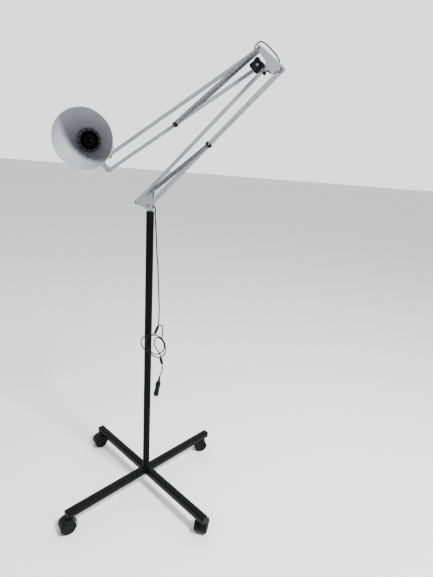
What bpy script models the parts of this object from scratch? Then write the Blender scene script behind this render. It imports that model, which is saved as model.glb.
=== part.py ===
"""Swing-arm floor lamp on a rolling stand, one object for each piece.

Metres, +Z up, floor at Z = 0, pole axis at X = Y = 0. Both arms lie in the XZ plane. Every pivot of a
moving body is an empty, and the pieces of that body are its children.
"""

import math

import bpy
from mathutils import Vector

GAP = 0.0003  # clearance between two pieces that touch

# Stand
LEG_WIDTH = 0.0254
LEG_WALL = 0.0016
LEG_REACH = 0.335  # pole axis to the outer face of a leg cap
LEG_CAP = 0.003
BASE_TURN = math.radians(60)  # heading of the long leg tube
POLE_R = 0.0127
POLE_WALL = 0.0016
POLE_TOP = 1.0814

# Casters
WHEEL_R = 0.025
WHEEL_WIDTH = 0.0165
CASTER_HEIGHT = 0.058
CASTER_REACH = 0.317
CASTER_TRAIL = 0.014
HOOD_WIDTH = 0.046
HOOD_R = 0.0272
HOOD_WEB = 0.0095
STEM_R = 0.004

# Arms: both are parallelograms of two bars
ARM_LENGTH = 0.550
LOWER_ANGLE = math.radians(46.45)
UPPER_ANGLE = math.radians(33.9)
PIVOT_SPACING = 0.046
LOWER_TILT = math.radians(-5)  # slope of the line through both lower pivots
PLATE_IN = 0.007  # arm plane to a side plate's inner face
PLATE = 0.0016
PLATE_OUT = PLATE_IN + PLATE
MAIN_BAR = 0.0127
SLIM_BAR = 0.0095
BAR_WALL = 0.0012
BAR_END = 0.0055  # bar beyond its pivot
BOLT_R = 0.0024
HOLE_R = BOLT_R + GAP
SLEEVE_R = 0.0042

PIVOT_B = Vector((0, 0, POLE_TOP + 0.0236))
PIVOT_A = PIVOT_B - PIVOT_SPACING * Vector((math.cos(LOWER_TILT), 0, math.sin(LOWER_TILT)))
LOWER_RUN = ARM_LENGTH * Vector((math.cos(LOWER_ANGLE), 0, math.sin(LOWER_ANGLE)))
ELBOW_LINK = PIVOT_A + LOWER_RUN
ELBOW_MAIN = PIVOT_B + LOWER_RUN
ELBOW_KNOB = ELBOW_LINK - Vector((0.021, 0, 0))
ELBOW_TOP = ELBOW_KNOB + Vector((0, 0, PIVOT_SPACING))
UPPER_RUN = -ARM_LENGTH * Vector((math.cos(UPPER_ANGLE), 0, math.sin(UPPER_ANGLE)))
HEAD_LOW = ELBOW_KNOB + UPPER_RUN
HEAD_HIGH = ELBOW_TOP + UPPER_RUN

# Springs
SPRING_R = 0.004
LOWER_HOOK = PIVOT_B + Vector((0.0039, 0, 0.0428))
LOWER_CLIP_AT = 0.266  # along the lower main bar
LOWER_SPRING_Y = 0.0133
UPPER_COLLAR_AT = 0.2835  # along the upper main bar
UPPER_SPRING_Y = 0.0145
SPRING_LOOP = 0.007  # wire loop between a spring's coil and its anchor

# Head
HEAD_SWIVEL = HEAD_HIGH + Vector((-0.0106, 0, 0))
TILT_Z = POLE_TOP + 0.189
HEAD_TURN = math.radians(22)  # heading of the tilt axis
NECK_OFFSET = 0.050  # head swivel axis to the shade's axis
SHADE_RISE = 0.0185  # shade's axis above the tilt axis
MOUTH_AT = 0.123  # mouth ahead of the tilt axis
MOUTH_R = 0.086
NECK_R = 0.0383
NECK_BACK = -0.0070
SHADE_WALL = 0.0012
VENT_RING_R = 0.032
VENT_R = 0.0025
VENTS = 12
BORE_R = 0.0284
CAP_DEPTH = 0.044
HOLDER_R = 0.0195

# Cord
CORD_R = 0.0020
LEAD_R = 0.0018

BLACK_PAINT = ("black_paint", (0.012, 0.013, 0.014), 0.35, 0.0)
GREY_PAINT = ("grey_paint", (0.68, 0.70, 0.71), 0.38, 0.0)
BLACK_PLASTIC = ("black_plastic", (0.015, 0.016, 0.018), 0.5, 0.0)
WHEEL_BLACK = ("wheel_black", (0.02, 0.02, 0.021), 0.6, 0.0)
STEEL = ("steel", (0.42, 0.42, 0.41), 0.35, 1.0)
SPRING_STEEL = ("spring_steel", (0.28, 0.28, 0.28), 0.35, 1.0)
BRASS = ("brass", (0.62, 0.46, 0.22), 0.35, 1.0)
CORD_BLACK = ("cord_black", (0.018, 0.018, 0.018), 0.6, 0.0)

LAMP = None
CUTTERS = None


def clear_scene():
    for obj in list(bpy.data.objects):
        bpy.data.objects.remove(obj)


def make_collections():
    global LAMP, CUTTERS
    LAMP = bpy.data.collections.new("swing_arm_floor_lamp")
    CUTTERS = bpy.data.collections.new("cutters")
    CUTTERS.hide_render = True
    for collection in (LAMP, CUTTERS):
        bpy.context.scene.collection.children.link(collection)


def material(finish):
    name, colour, roughness, metallic = finish
    found = bpy.data.materials.get(name)
    if found:
        return found
    made = bpy.data.materials.new(name)
    made.use_nodes = True
    shader = made.node_tree.nodes["Principled BSDF"]
    shader.inputs["Base Color"].default_value = (*colour, 1)
    shader.inputs["Roughness"].default_value = roughness
    shader.inputs["Metallic"].default_value = metallic
    made.diffuse_color = (*colour, 1)
    return made


def add_object(name, data, finish):
    obj = bpy.data.objects.new(name, data)
    LAMP.objects.link(obj)
    if finish:
        data.materials.append(material(finish))
    return obj


def pivot(name, location, parent=None):
    """An empty on a joint's axis. Its world place is kept as a property, for its children."""
    empty = bpy.data.objects.new(name, None)
    empty.empty_display_size = 0.02
    LAMP.objects.link(empty)
    empty["world"] = tuple(location)
    empty.location = Vector(location)
    if parent:
        empty.parent = parent
        empty.location -= Vector(parent["world"])
    return empty


def attach(obj, empty):
    obj.parent = empty
    obj.location -= Vector(empty["world"])
    return obj


def as_mesh(obj):
    """Turns a curve or a modified object into a plain mesh with its caps welded."""
    graph = bpy.context.evaluated_depsgraph_get()
    mesh = bpy.data.meshes.new_from_object(obj.evaluated_get(graph))
    name, finish = obj.name, list(obj.data.materials)
    matrix = obj.matrix_basis.copy()
    bpy.data.objects.remove(obj)
    mesh.name = name
    plain = bpy.data.objects.new(name, mesh)
    plain.matrix_basis = matrix
    LAMP.objects.link(plain)
    weld = plain.modifiers.new("weld", "WELD")
    weld.merge_threshold = 0.000002
    if finish and not mesh.materials:
        mesh.materials.append(finish[0])
    return plain


def boolean(obj, other, operation="DIFFERENCE"):
    """Cuts or joins with a helper object, which stays hidden in the cutters' collection."""
    for collection in list(other.users_collection):
        collection.objects.unlink(other)
    CUTTERS.objects.link(other)
    other.hide_render = True
    other.display_type = "WIRE"
    modifier = obj.modifiers.new(operation.lower(), "BOOLEAN")
    modifier.operation = operation
    modifier.solver = "EXACT"
    modifier.object = other
    return obj


def ring(radius, count, start=0.0, centre=(0, 0)):
    """Points of a circle, counter-clockwise."""
    turns = [start + math.tau * i / count for i in range(count)]
    return [(centre[0] + radius * math.cos(a), centre[1] + radius * math.sin(a)) for a in turns]


def rounded(corners, steps=2):
    """An outline whose corners (x, y, radius) are arcs."""
    points = []
    count = len(corners)
    for i, (x, y, radius) in enumerate(corners):
        here = Vector((x, y))
        back = (Vector(corners[i - 1][:2]) - here).normalized()
        ahead = (Vector(corners[(i + 1) % count][:2]) - here).normalized()
        half = back.angle(ahead) / 2
        centre = here + (back + ahead).normalized() * radius / math.sin(half)
        first = here + back * radius / math.tan(half) - centre
        last = here + ahead * radius / math.tan(half) - centre
        for step in range(steps + 1):
            arm = first.lerp(last, step / steps).normalized() * radius
            points.append(tuple(centre + arm))
    return points


def rounded_box(width, height, radius, steps=2):
    x, y = width / 2, height / 2
    return rounded([(-x, -y, radius), (x, -y, radius), (x, y, radius), (-x, y, radius)], steps)


def extruded(name, outlines, thickness, finish):
    """A flat piece in the local XY plane: the first outline, with the others as holes."""
    curve = bpy.data.curves.new(name, "CURVE")
    curve.dimensions = "2D"
    curve.fill_mode = "BOTH"
    curve.extrude = thickness / 2
    for outline in outlines:
        spline = curve.splines.new("POLY")
        spline.points.add(len(outline) - 1)
        for point, (x, y) in zip(spline.points, outline):
            point.co = (x, y, 0, 1)
        spline.use_cyclic_u = True
    return as_mesh(add_object(name, curve, finish))


def turned(name, profile, steps, finish, closed=False):
    """A profile of (radius, height) turned about the local Z axis."""
    mesh = bpy.data.meshes.new(name)
    count = len(profile)
    edges = [(i, i + 1) for i in range(count - 1)] + ([(count - 1, 0)] if closed else [])
    mesh.from_pydata([(r, 0, z) for r, z in profile], edges, [])
    obj = add_object(name, mesh, finish)
    screw = obj.modifiers.new("turn", "SCREW")
    screw.steps = steps
    screw.render_steps = steps
    screw.use_merge_vertices = True
    screw.merge_threshold = 0.00001
    screw.use_smooth_shade = False
    return obj


def cylinder(name, radius, low, high, finish=None, steps=16):
    return turned(name, [(0, high), (radius, high), (radius, low), (0, low)], steps, finish)


def box(name, size, centre, finish=None):
    bpy.ops.mesh.primitive_cube_add(size=1)
    obj = bpy.context.object
    obj.name = name
    for vertex in obj.data.vertices:
        vertex.co = Vector(a * b for a, b in zip(vertex.co, size))
    for collection in list(obj.users_collection):
        collection.objects.unlink(obj)
    LAMP.objects.link(obj)
    obj.location = centre
    if finish:
        obj.data.materials.append(material(finish))
    return obj


def bevel(obj, width, segments=1):
    modifier = obj.modifiers.new("bevel", "BEVEL")
    modifier.width = width
    modifier.segments = segments
    modifier.limit_method = "ANGLE"
    return obj


def tube(name, points, radius, finish, smooth_steps=0):
    """A cord along its points, with filled ends."""
    curve = bpy.data.curves.new(name, "CURVE")
    curve.dimensions = "3D"
    curve.bevel_depth = radius
    curve.bevel_resolution = 2
    curve.use_fill_caps = True
    spline = curve.splines.new("POLY")
    route = smoothed(points, smooth_steps) if smooth_steps else points
    spline.points.add(len(route) - 1)
    for point, place in zip(spline.points, route):
        point.co = (*place, 1)
    return as_mesh(add_object(name, curve, finish))


def smoothed(points, steps):
    """A Catmull-Rom curve through the points."""
    places = [Vector(p) for p in points]
    places = [2 * places[0] - places[1]] + places + [2 * places[-1] - places[-2]]
    route = []
    for a, b, c, d in zip(places, places[1:], places[2:], places[3:]):
        for step in range(steps):
            t = step / steps
            square = (2 * a - 5 * b + 4 * c - d) * t * t
            cube = (3 * b - a - 3 * c + d) * t**3
            route.append(0.5 * (2 * b + (c - a) * t + square + cube))
    route.append(places[-2])
    return route


def facing_y(obj, location):
    """Puts a turned piece's axis along world Y."""
    obj.rotation_euler = (-math.pi / 2, 0, 0)
    obj.location = location
    return obj


def upright(obj, location):
    """Stands a flat piece in the XZ plane."""
    obj.rotation_euler = (math.pi / 2, 0, 0)
    obj.location = location
    return obj


# ---------------------------------------------------------------- stand


def leg_tube(name, start, end, heading):
    """A square tube along its heading, open at both ends, with a hole below for a caster's stem."""
    inner = LEG_WIDTH - 2 * LEG_WALL
    outline = rounded_box(LEG_WIDTH, LEG_WIDTH, 0.0025)
    hollow = ring(inner / math.sqrt(2), 4, math.pi / 4)
    obj = extruded(name, [outline, hollow], end - start, BLACK_PAINT)
    obj.rotation_euler = (0, math.pi / 2, heading)
    middle = (start + end) / 2
    height = CASTER_HEIGHT + LEG_WIDTH / 2
    obj.location = (middle * math.cos(heading), middle * math.sin(heading), height)
    return obj


def stem_hole(obj, reach, heading):
    hole = cylinder(obj.name + "_hole", STEM_R + GAP, -0.004, 0.004)
    hole.location = (reach * math.cos(heading), reach * math.sin(heading), CASTER_HEIGHT)
    return boolean(obj, hole)


def leg_cap(name, heading):
    """A plastic plug in a leg's end, with a flat outer face."""
    inner = LEG_WIDTH - 2 * LEG_WALL - 2 * GAP
    plug = 0.010
    obj = box(name, (LEG_CAP, LEG_WIDTH, LEG_WIDTH), (0, 0, 0), BLACK_PLASTIC)
    bevel(obj, 0.001)
    tongue = box(name + "_plug", (plug, inner, inner), (0, 0, 0))
    reach = LEG_REACH - LEG_CAP / 2
    height = CASTER_HEIGHT + LEG_WIDTH / 2
    for piece, distance in ((obj, reach), (tongue, reach - plug / 2)):
        piece.rotation_euler = (0, 0, heading)
        piece.location = (distance * math.cos(heading), distance * math.sin(heading), height)
    return boolean(obj, tongue, "UNION")


def make_stand():
    stand = pivot("stand_origin", (0, 0, 0))
    leg_end = LEG_REACH - LEG_CAP - GAP
    long_leg = leg_tube("long_leg_tube", -leg_end, leg_end, BASE_TURN)
    for side in (-1, 1):
        stem_hole(long_leg, side * CASTER_REACH, BASE_TURN)
    bolt_hole = cylinder("long_leg_bolt_hole", 0.0043, 0.050, 0.090)
    boolean(long_leg, bolt_hole)
    side_start = LEG_WIDTH / 2 + GAP
    across = BASE_TURN - math.pi / 2
    front = leg_tube("front_leg_tube", side_start, leg_end, across)
    back = leg_tube("back_leg_tube", side_start, leg_end, across + math.pi)
    stem_hole(front, CASTER_REACH, across)
    stem_hole(back, CASTER_REACH, across + math.pi)
    leg_top = CASTER_HEIGHT + LEG_WIDTH
    pole = turned(
        "pole_tube",
        [
            (POLE_R, POLE_TOP),
            (POLE_R, leg_top + GAP),
            (POLE_R - POLE_WALL, leg_top + GAP),
            (POLE_R - POLE_WALL, POLE_TOP),
        ],
        24,
        BLACK_PAINT,
        closed=True,
    )
    bolt = turned(
        "pole_bolt",
        [
            (0, leg_top + 0.030),
            (POLE_R - POLE_WALL - GAP, leg_top + 0.030),
            (POLE_R - POLE_WALL - GAP, leg_top + GAP),
            (0.004, leg_top + GAP),
            (0.004, CASTER_HEIGHT - GAP),
            (0.0075, CASTER_HEIGHT - GAP),
            (0.0075, CASTER_HEIGHT - 0.006),
            (0, CASTER_HEIGHT - 0.006),
        ],
        12,
        STEEL,
    )
    bush_r = POLE_R - POLE_WALL - GAP
    bushing = turned(
        "pole_top_bushing",
        [
            (POLE_R, POLE_TOP + 0.0028),
            (POLE_R, POLE_TOP + GAP),
            (bush_r, POLE_TOP + GAP),
            (bush_r, POLE_TOP - 0.035),
            (0.005 + GAP, POLE_TOP - 0.035),
            (0.005 + GAP, POLE_TOP + 0.0028),
        ],
        24,
        BLACK_PLASTIC,
        closed=True,
    )
    for obj in (long_leg, front, back, pole, bolt, bushing):
        attach(obj, stand)
    return stand


LEG_HEADINGS = {
    "front_left": BASE_TURN + math.pi,
    "front_right": BASE_TURN - math.pi / 2,
    "back_left": BASE_TURN + math.pi / 2,
    "back_right": BASE_TURN,
}
CASTER_HEADINGS = {
    "front_left": math.radians(230),
    "front_right": math.radians(90),
    "back_left": math.radians(230),
    "back_right": math.radians(210),
}


def make_caster(place, stand):
    """A hooded twin-wheel caster: hood with stem, and a wheel pair on its axle."""
    heading = LEG_HEADINGS[place]
    swivel_at = Vector((CASTER_REACH * math.cos(heading), CASTER_REACH * math.sin(heading), 0))
    trail = CASTER_HEADINGS[place]
    ahead = Vector((math.cos(trail), math.sin(trail), 0))
    axle_at = swivel_at + CASTER_TRAIL * ahead + Vector((0, 0, WHEEL_R))
    swivel = pivot("caster_" + place + "_swivel", swivel_at + Vector((0, 0, CASTER_HEIGHT)), stand)
    axle = pivot("wheels_" + place + "_axle", axle_at, swivel)

    hood = cylinder("caster_hood_" + place, HOOD_R, -HOOD_WIDTH / 2, HOOD_WIDTH / 2, BLACK_PLASTIC, 28)
    hood.rotation_euler = (math.pi / 2, 0, trail)
    hood.location = axle_at
    below = box(hood.name + "_below", (0.08, 0.08, 0.04), axle_at - Vector((0, 0, 0.02 + 0.006)))
    below.rotation_euler = (0, 0, trail)
    boolean(hood, below)
    pocket_width = (HOOD_WIDTH - HOOD_WEB) / 2 + 0.001
    for side in (-1, 1):
        middle = side * (HOOD_WEB / 2 + pocket_width / 2)
        pocket = cylinder(
            hood.name + "_pocket" + "ab"[side > 0],
            HOOD_R - 0.0013,
            middle - pocket_width / 2,
            middle + pocket_width / 2,
            None,
            28,
        )
        pocket.rotation_euler = (math.pi / 2, 0, trail)
        pocket.location = axle_at
        boolean(hood, pocket)
    hub_hole = cylinder(hood.name + "_axle_hole", 0.003 + GAP, -0.02, 0.02)
    hub_hole.rotation_euler = (math.pi / 2, 0, trail)
    hub_hole.location = axle_at
    boolean(hood, hub_hole)
    stem_top = CASTER_HEIGHT + 0.018
    web_top = WHEEL_R + 0.0235
    stem = turned(
        hood.name + "_stem",
        [
            (0, stem_top),
            (STEM_R, stem_top),
            (STEM_R, CASTER_HEIGHT - GAP),
            (0.009, CASTER_HEIGHT - GAP),
            (0.009, CASTER_HEIGHT - 0.003),
            (0.0065, CASTER_HEIGHT - 0.003),
            (0.0065, web_top - 0.0015),
            (0, web_top - 0.0015),
        ],
        16,
        None,
    )
    stem.location = swivel_at
    boolean(hood, stem, "UNION")
    attach(hood, swivel)

    inner = HOOD_WEB / 2 + 0.0006
    outer = inner + WHEEL_WIDTH
    wheels = turned(
        "caster_wheels_" + place,
        [
            (0, outer - 0.0015),
            (0.014, outer - 0.0015),
            (0.016, outer),
            (WHEEL_R - 0.0015, outer),
            (WHEEL_R, outer - 0.0015),
            (WHEEL_R, inner + 0.001),
            (WHEEL_R - 0.001, inner),
            (0.003, inner),
            (0.003, -inner),
            (WHEEL_R - 0.001, -inner),
            (WHEEL_R, -inner - 0.001),
            (WHEEL_R, -outer + 0.0015),
            (WHEEL_R - 0.0015, -outer),
            (0.016, -outer),
            (0.014, -outer + 0.0015),
            (0, -outer + 0.0015),
        ],
        24,
        WHEEL_BLACK,
    )
    wheels.rotation_euler = (math.pi / 2, 0, trail)
    wheels.location = axle_at
    attach(wheels, axle)
    return swivel, ahead, axle_at


def make_brake(swivel, ahead, axle_at):
    """A small foot lever on the leading side of one caster's hood."""
    hinge_at = axle_at - ahead * 0.0284 + Vector((0, 0, 0.010))
    hinge = pivot("brake_hinge", hinge_at, swivel)
    lever = extruded(
        "brake_lever",
        [
            rounded(
                [
                    (-0.0021, -0.0021, 0.0006),
                    (0.0005, -0.0060, 0.0020),
                    (0.0034, -0.0190, 0.0006),
                    (0.0056, -0.0180, 0.0006),
                    (0.0024, 0.0021, 0.0014),
                    (-0.0021, 0.0021, 0.0014),
                ],
            )
        ],
        0.018,
        BLACK_PLASTIC,
    )
    lever.rotation_euler = (math.pi / 2, 0, math.atan2(-ahead.y, -ahead.x))
    lever.location = hinge_at
    attach(lever, hinge)


# ---------------------------------------------------------------- arms


def bar(name, at, angle, width, hole=None, finish=GREY_PAINT):
    """A square tube between two pivots, with a sleeve at each end and a cord hole along it."""
    inner = width - 2 * BAR_WALL
    outline = rounded_box(width, width, 0.0012)
    hollow = rounded_box(inner, inner, 0.0004, 1)
    obj = extruded(name, [outline, hollow], ARM_LENGTH + 2 * BAR_END, finish)
    run = Vector((math.cos(angle), 0, math.sin(angle)))
    obj.rotation_euler = (0, math.pi / 2 - angle, 0)
    obj.location = at + run * ARM_LENGTH / 2
    for distance, end in ((0, "near"), (ARM_LENGTH, "far")):
        sleeve = cylinder(name + "_sleeve_" + end, SLEEVE_R, -PLATE_IN + GAP, PLATE_IN - GAP, None, 14)
        facing_y(sleeve, at + run * distance)
        boolean(obj, sleeve, "UNION")
        bore = cylinder(name + "_bore_" + end, HOLE_R, -0.02, 0.02, None, 12)
        facing_y(bore, at + run * distance)
        boolean(obj, bore)
    if hole:
        along, side = hole
        opening = cylinder(name + "_cord_hole", 0.0022, 0, 0.012, None, 10)
        opening.rotation_euler = (0, (0 if side > 0 else math.pi) - angle, 0)
        opening.location = at + run * along
        boolean(obj, opening)
    return obj


def side_plate(name, corners, holes, thickness, finish=GREY_PAINT):
    loops = [rounded(corners)] + [ring(radius, 12, 0, (x, z)) for x, z, radius in holes]
    return extruded(name, loops, thickness, finish)


def bolt(name, at, near=0.0, far=0.0, head=0.0045):
    """A pivot bolt with its head on the near side and its nut on the far side."""
    low, high = -PLATE_OUT - GAP - near, PLATE_OUT + GAP + far
    obj = turned(
        name,
        [
            (0, high + 0.0055),
            (BOLT_R, high + 0.0055),
            (BOLT_R, high + 0.0035),
            (0.0042, high + 0.0035),
            (0.0042, high),
            (BOLT_R, high),
            (BOLT_R, low),
            (head, low),
            (head, low - 0.0015),
            (0.0025, low - 0.0028),
            (0, low - 0.0028),
        ],
        12,
        STEEL,
    )
    return facing_y(obj, at)


def hole_at(centre, origin, radius=HOLE_R):
    return (centre.x - origin.x, centre.z - origin.z, radius)


def make_bracket(swivel):
    """A folded bracket with the post that turns in the pole's bushing."""
    corners = [
        (-0.0065, -0.0186, 0.001),
        (0.0065, -0.0186, 0.001),
        (0.0110, -0.0090, 0.003),
        (0.0090, 0.0120, 0.006),
        (0.0090, 0.0300, 0.006),
        (0.0118, 0.0480, 0.007),
        (-0.0020, 0.0562, 0.0075),
        (-0.0505, 0.0083, 0.006),
        (-0.0520, -0.0020, 0.006),
        (-0.0270, -0.0060, 0.006),
    ]
    holes = [hole_at(PIVOT_A, PIVOT_B), hole_at(PIVOT_B, PIVOT_B), hole_at(LOWER_HOOK, PIVOT_B, 0.0022)]
    obj = upright(side_plate("arm_bracket", corners, holes, 2 * PLATE_OUT), PIVOT_B)
    floor = -0.0100
    pocket = box("arm_bracket_pocket", (0.12, 2 * PLATE_IN, 0.1), PIVOT_B + Vector((0, 0, 0.05 + floor)))
    boolean(obj, pocket)
    post = turned(
        "arm_bracket_post",
        [
            (0, POLE_TOP + 0.0065),
            (0.005, POLE_TOP + 0.0065),
            (0.005, POLE_TOP - 0.040),
            (0.0042, POLE_TOP - 0.041),
            (0, POLE_TOP - 0.041),
        ],
        16,
        None,
    )
    boolean(obj, post, "UNION")
    attach(obj, swivel)
    attach(bolt("pivot_bolt_a", PIVOT_A), swivel)
    attach(bolt("pivot_bolt_b", PIVOT_B), swivel)


def spring(name, start, end, side):
    """One tension spring as a plain rod of its coil's size."""
    start = Vector((start.x, side, start.z))
    end = Vector((end.x, side, end.z))
    along = (end - start).normalized()
    return tube(name, [start + along * SPRING_LOOP, end - along * SPRING_LOOP], SPRING_R, SPRING_STEEL)


def clamp(name, at, angle, width, stud, finish):
    """A square clamp around a bar, with a stud on each side for a spring."""
    obj = box(name, (0.011, width + 0.0052, width + 0.0052), at, finish)
    obj.rotation_euler = (0, -angle, 0)
    bevel(obj, 0.0008)
    studs = facing_y(cylinder(name + "_studs", 0.0022, -stud, stud, None, 12), at)
    boolean(obj, studs, "UNION")
    slot = box(name + "_slot", (0.04, width + 2 * GAP, width + 2 * GAP), at)
    slot.rotation_euler = (0, -angle, 0)
    return boolean(obj, slot)


def make_lower_arm(swivel):
    link = pivot("lower_link_pivot", PIVOT_A, swivel)
    main = pivot("lower_main_pivot", PIVOT_B, swivel)
    attach(bar("lower_link_bar", PIVOT_A, LOWER_ANGLE, SLIM_BAR, (ARM_LENGTH - 0.024, -1)), link)
    attach(bar("lower_main_bar", PIVOT_B, LOWER_ANGLE, MAIN_BAR), main)
    run = LOWER_RUN.normalized()
    clip_at = PIVOT_B + run * LOWER_CLIP_AT
    attach(clamp("lower_spring_clip", clip_at, LOWER_ANGLE, MAIN_BAR, 0.0185, BLACK_PLASTIC), main)
    for name, side in (("lower_spring_near", -LOWER_SPRING_Y), ("lower_spring_far", LOWER_SPRING_Y)):
        attach(spring(name, LOWER_HOOK, clip_at, side), main)
    below = Vector((run.z, 0, -run.x))
    clip = box(
        "elbow_cord_clip",
        (0.009, 0.0085, 0.0075),
        ELBOW_LINK - run * 0.013 + below * (SLIM_BAR / 2 + 0.00375 + GAP),
        BLACK_PLASTIC,
    )
    clip.rotation_euler = (0, -LOWER_ANGLE, 0)
    bevel(clip, 0.001)
    attach(clip, link)
    return link


def make_elbow(link):
    elbow = pivot("elbow_pivot", ELBOW_LINK, link)
    origin = ELBOW_LINK
    corners = [
        (-0.0283, 0.0540, 0.0065),
        (-0.0283, 0.0388, 0.006),
        (-0.0190, 0.0340, 0.002),
        (-0.0010, 0.0150, 0.005),
        (-0.0010, 0.0062, 0.002),
        (-0.0285, 0.0062, 0.006),
        (-0.0285, -0.0068, 0.0062),
        (0.0515, -0.0108, 0.0065),
        (0.0540, -0.0020, 0.005),
        (-0.0190, 0.0528, 0.006),
    ]
    holes = [hole_at(p, origin) for p in (ELBOW_LINK, ELBOW_MAIN, ELBOW_KNOB, ELBOW_TOP)]
    middle = PLATE_IN + PLATE / 2
    for name, side in (("elbow_plate_near", -middle), ("elbow_plate_far", middle)):
        plate = side_plate(name, corners, holes, PLATE)
        attach(upright(plate, origin + Vector((0, side, 0))), elbow)
    attach(bolt("elbow_bolt_link", ELBOW_LINK), elbow)
    attach(bolt("elbow_bolt_main", ELBOW_MAIN), elbow)
    spread = UPPER_SPRING_Y - PLATE_OUT + 0.0025
    attach(bolt("elbow_bolt_top", ELBOW_TOP, spread, spread), elbow)
    return elbow


def make_knob(elbow):
    """The clamp knob on its own bolt, which is also the upper arm's main pivot."""
    hub_low, hub_high = -0.0290, -PLATE_OUT - 0.0012
    stud = turned(
        "knob_bolt",
        [
            (0, PLATE_OUT + 0.0035),
            (0.0035, PLATE_OUT + 0.0032),
            (0.0055, PLATE_OUT + 0.0015),
            (0.0055, PLATE_OUT + GAP),
            (BOLT_R, PLATE_OUT + GAP),
            (BOLT_R, hub_low - 0.0020),
            (0, hub_low - 0.0020),
        ],
        12,
        STEEL,
    )
    attach(facing_y(stud, ELBOW_KNOB), elbow)
    turn = pivot("knob_turn", ELBOW_KNOB, elbow)
    lobes = []
    for i in range(40):
        angle = math.tau * i / 40
        radius = 0.0178 + 0.0029 * math.cos(4 * (angle - math.radians(92)))
        lobes.append((radius * math.cos(angle), radius * math.sin(angle)))
    knob = extruded("elbow_knob", [lobes], 0.012, BLACK_PLASTIC)
    knob.rotation_euler = (math.pi / 2, 0, 0)
    knob.location = ELBOW_KNOB + Vector((0, hub_low + 0.006, 0))
    bevel(knob, 0.0016, 2)
    neck = cylinder("elbow_knob_neck", 0.0085, hub_low + 0.009, hub_high)
    boolean(knob, facing_y(neck, ELBOW_KNOB), "UNION")
    bore = cylinder("elbow_knob_bore", HOLE_R, hub_low - 0.01, hub_high + 0.01, None, 12)
    boolean(knob, facing_y(bore, ELBOW_KNOB))
    attach(knob, turn)


def make_upper_arm(elbow):
    main = pivot("upper_main_pivot", ELBOW_KNOB, elbow)
    top = pivot("upper_top_pivot", ELBOW_TOP, elbow)
    angle = UPPER_ANGLE + math.pi
    attach(bar("upper_main_bar", ELBOW_KNOB, angle, SLIM_BAR, (ARM_LENGTH - 0.020, -1)), main)
    attach(bar("upper_top_bar", ELBOW_TOP, angle, SLIM_BAR, (0.0110, -1)), top)
    collar_at = ELBOW_KNOB + UPPER_RUN.normalized() * UPPER_COLLAR_AT
    attach(clamp("upper_spring_collar", collar_at, angle, SLIM_BAR, 0.0200, BLACK_PLASTIC), main)
    for name, side in (("upper_spring_near", -UPPER_SPRING_Y), ("upper_spring_far", UPPER_SPRING_Y)):
        attach(spring(name, ELBOW_TOP, collar_at, side), main)
    return main


# ---------------------------------------------------------------- head


def along_tilt(obj, distance, rise=0.0, forward=0.0):
    """Puts a turned piece's axis along the tilt axis."""
    obj.rotation_euler = (0, math.pi / 2, HEAD_TURN)
    obj.location = head_point(distance, rise, forward)
    return obj


def head_point(across, rise, forward):
    """A point of the head: across along the tilt axis, forward towards the shade's mouth."""
    tilt_axis = Vector((math.cos(HEAD_TURN), math.sin(HEAD_TURN), 0))
    mouth = Vector((math.sin(HEAD_TURN), -math.cos(HEAD_TURN), 0))
    base = Vector((HEAD_SWIVEL.x, 0, TILT_Z))
    return base + across * tilt_axis + forward * mouth + Vector((0, 0, rise))


def make_head_link(upper):
    link = pivot("head_link_pivot", HEAD_LOW, upper)
    origin = HEAD_LOW
    top = PIVOT_SPACING + 0.0105
    corners = [
        (0.0012, -0.0079, 0.005),
        (0.0079, 0, 0.005),
        (-0.0165, 0.0210, 0.004),
        (-0.0165, 0.0345, 0.004),
        (0.0072, 0.0385, 0.005),
        (0.0072, top - 0.0025, 0.005),
        (-0.0050, top, 0.001),
        (-0.0266, top, 0.001),
        (-0.0266, 0.0160, 0.005),
    ]
    holes = [hole_at(HEAD_LOW, origin), hole_at(HEAD_HIGH, origin)]
    obj = upright(side_plate("head_link", corners, holes, 2 * PLATE_OUT), origin)
    ceiling = top - PLATE
    boolean(obj, box("head_link_pocket", (0.1, 2 * PLATE_IN, 0.1), origin + Vector((0, 0, ceiling - 0.05))))
    stud_hole = cylinder("head_link_stud_hole", 0.003 + GAP, -0.004, 0.004)
    stud_hole.location = (HEAD_SWIVEL.x, 0, origin.z + top)
    boolean(obj, stud_hole)
    attach(obj, link)
    attach(bolt("head_bolt_low", HEAD_LOW), link)
    attach(bolt("head_bolt_high", HEAD_HIGH), link)
    return link, origin.z + top


def make_knuckle(link, web_top):
    swivel = pivot("head_swivel", (HEAD_SWIVEL.x, 0, web_top), link)
    body_top = TILT_Z + 0.0095
    knuckle = turned(
        "head_knuckle",
        [
            (0, body_top),
            (0.0070, body_top),
            (0.0085, body_top - 0.0015),
            (0.0085, web_top + GAP),
            (0.0030, web_top + GAP),
            (0.0030, web_top - PLATE - GAP),
            (0.0048, web_top - PLATE - GAP),
            (0.0048, web_top - PLATE - 0.0015),
            (0, web_top - PLATE - 0.0015),
        ],
        20,
        GREY_PAINT,
    )
    knuckle.location = (HEAD_SWIVEL.x, 0, 0)
    boolean(knuckle, along_tilt(cylinder("head_knuckle_bore", HOLE_R, -0.02, 0.02, None, 12), 0))
    attach(knuckle, swivel)
    tilt_bolt = turned(
        "tilt_bolt",
        [
            (0, 0.0260),
            (BOLT_R, 0.0255),
            (BOLT_R, 0.0150),
            (0.0050, 0.0150),
            (0.0055, 0.0088),
            (BOLT_R, 0.0088),
            (BOLT_R, -0.0105),
            (0.0042, -0.0105),
            (0.0042, -0.0122),
            (0, -0.0122),
        ],
        12,
        STEEL,
    )
    along_tilt(tilt_bolt, 0)
    wings = box("tilt_bolt_wings", (0.0075, 0.0024, 0.022), (0, 0, 0))
    wings.rotation_euler = (0, 0, HEAD_TURN)
    wings.location = head_point(0.0135, 0.0, 0.0)
    boolean(tilt_bolt, wings, "UNION")
    attach(tilt_bolt, swivel)
    return swivel


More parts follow.
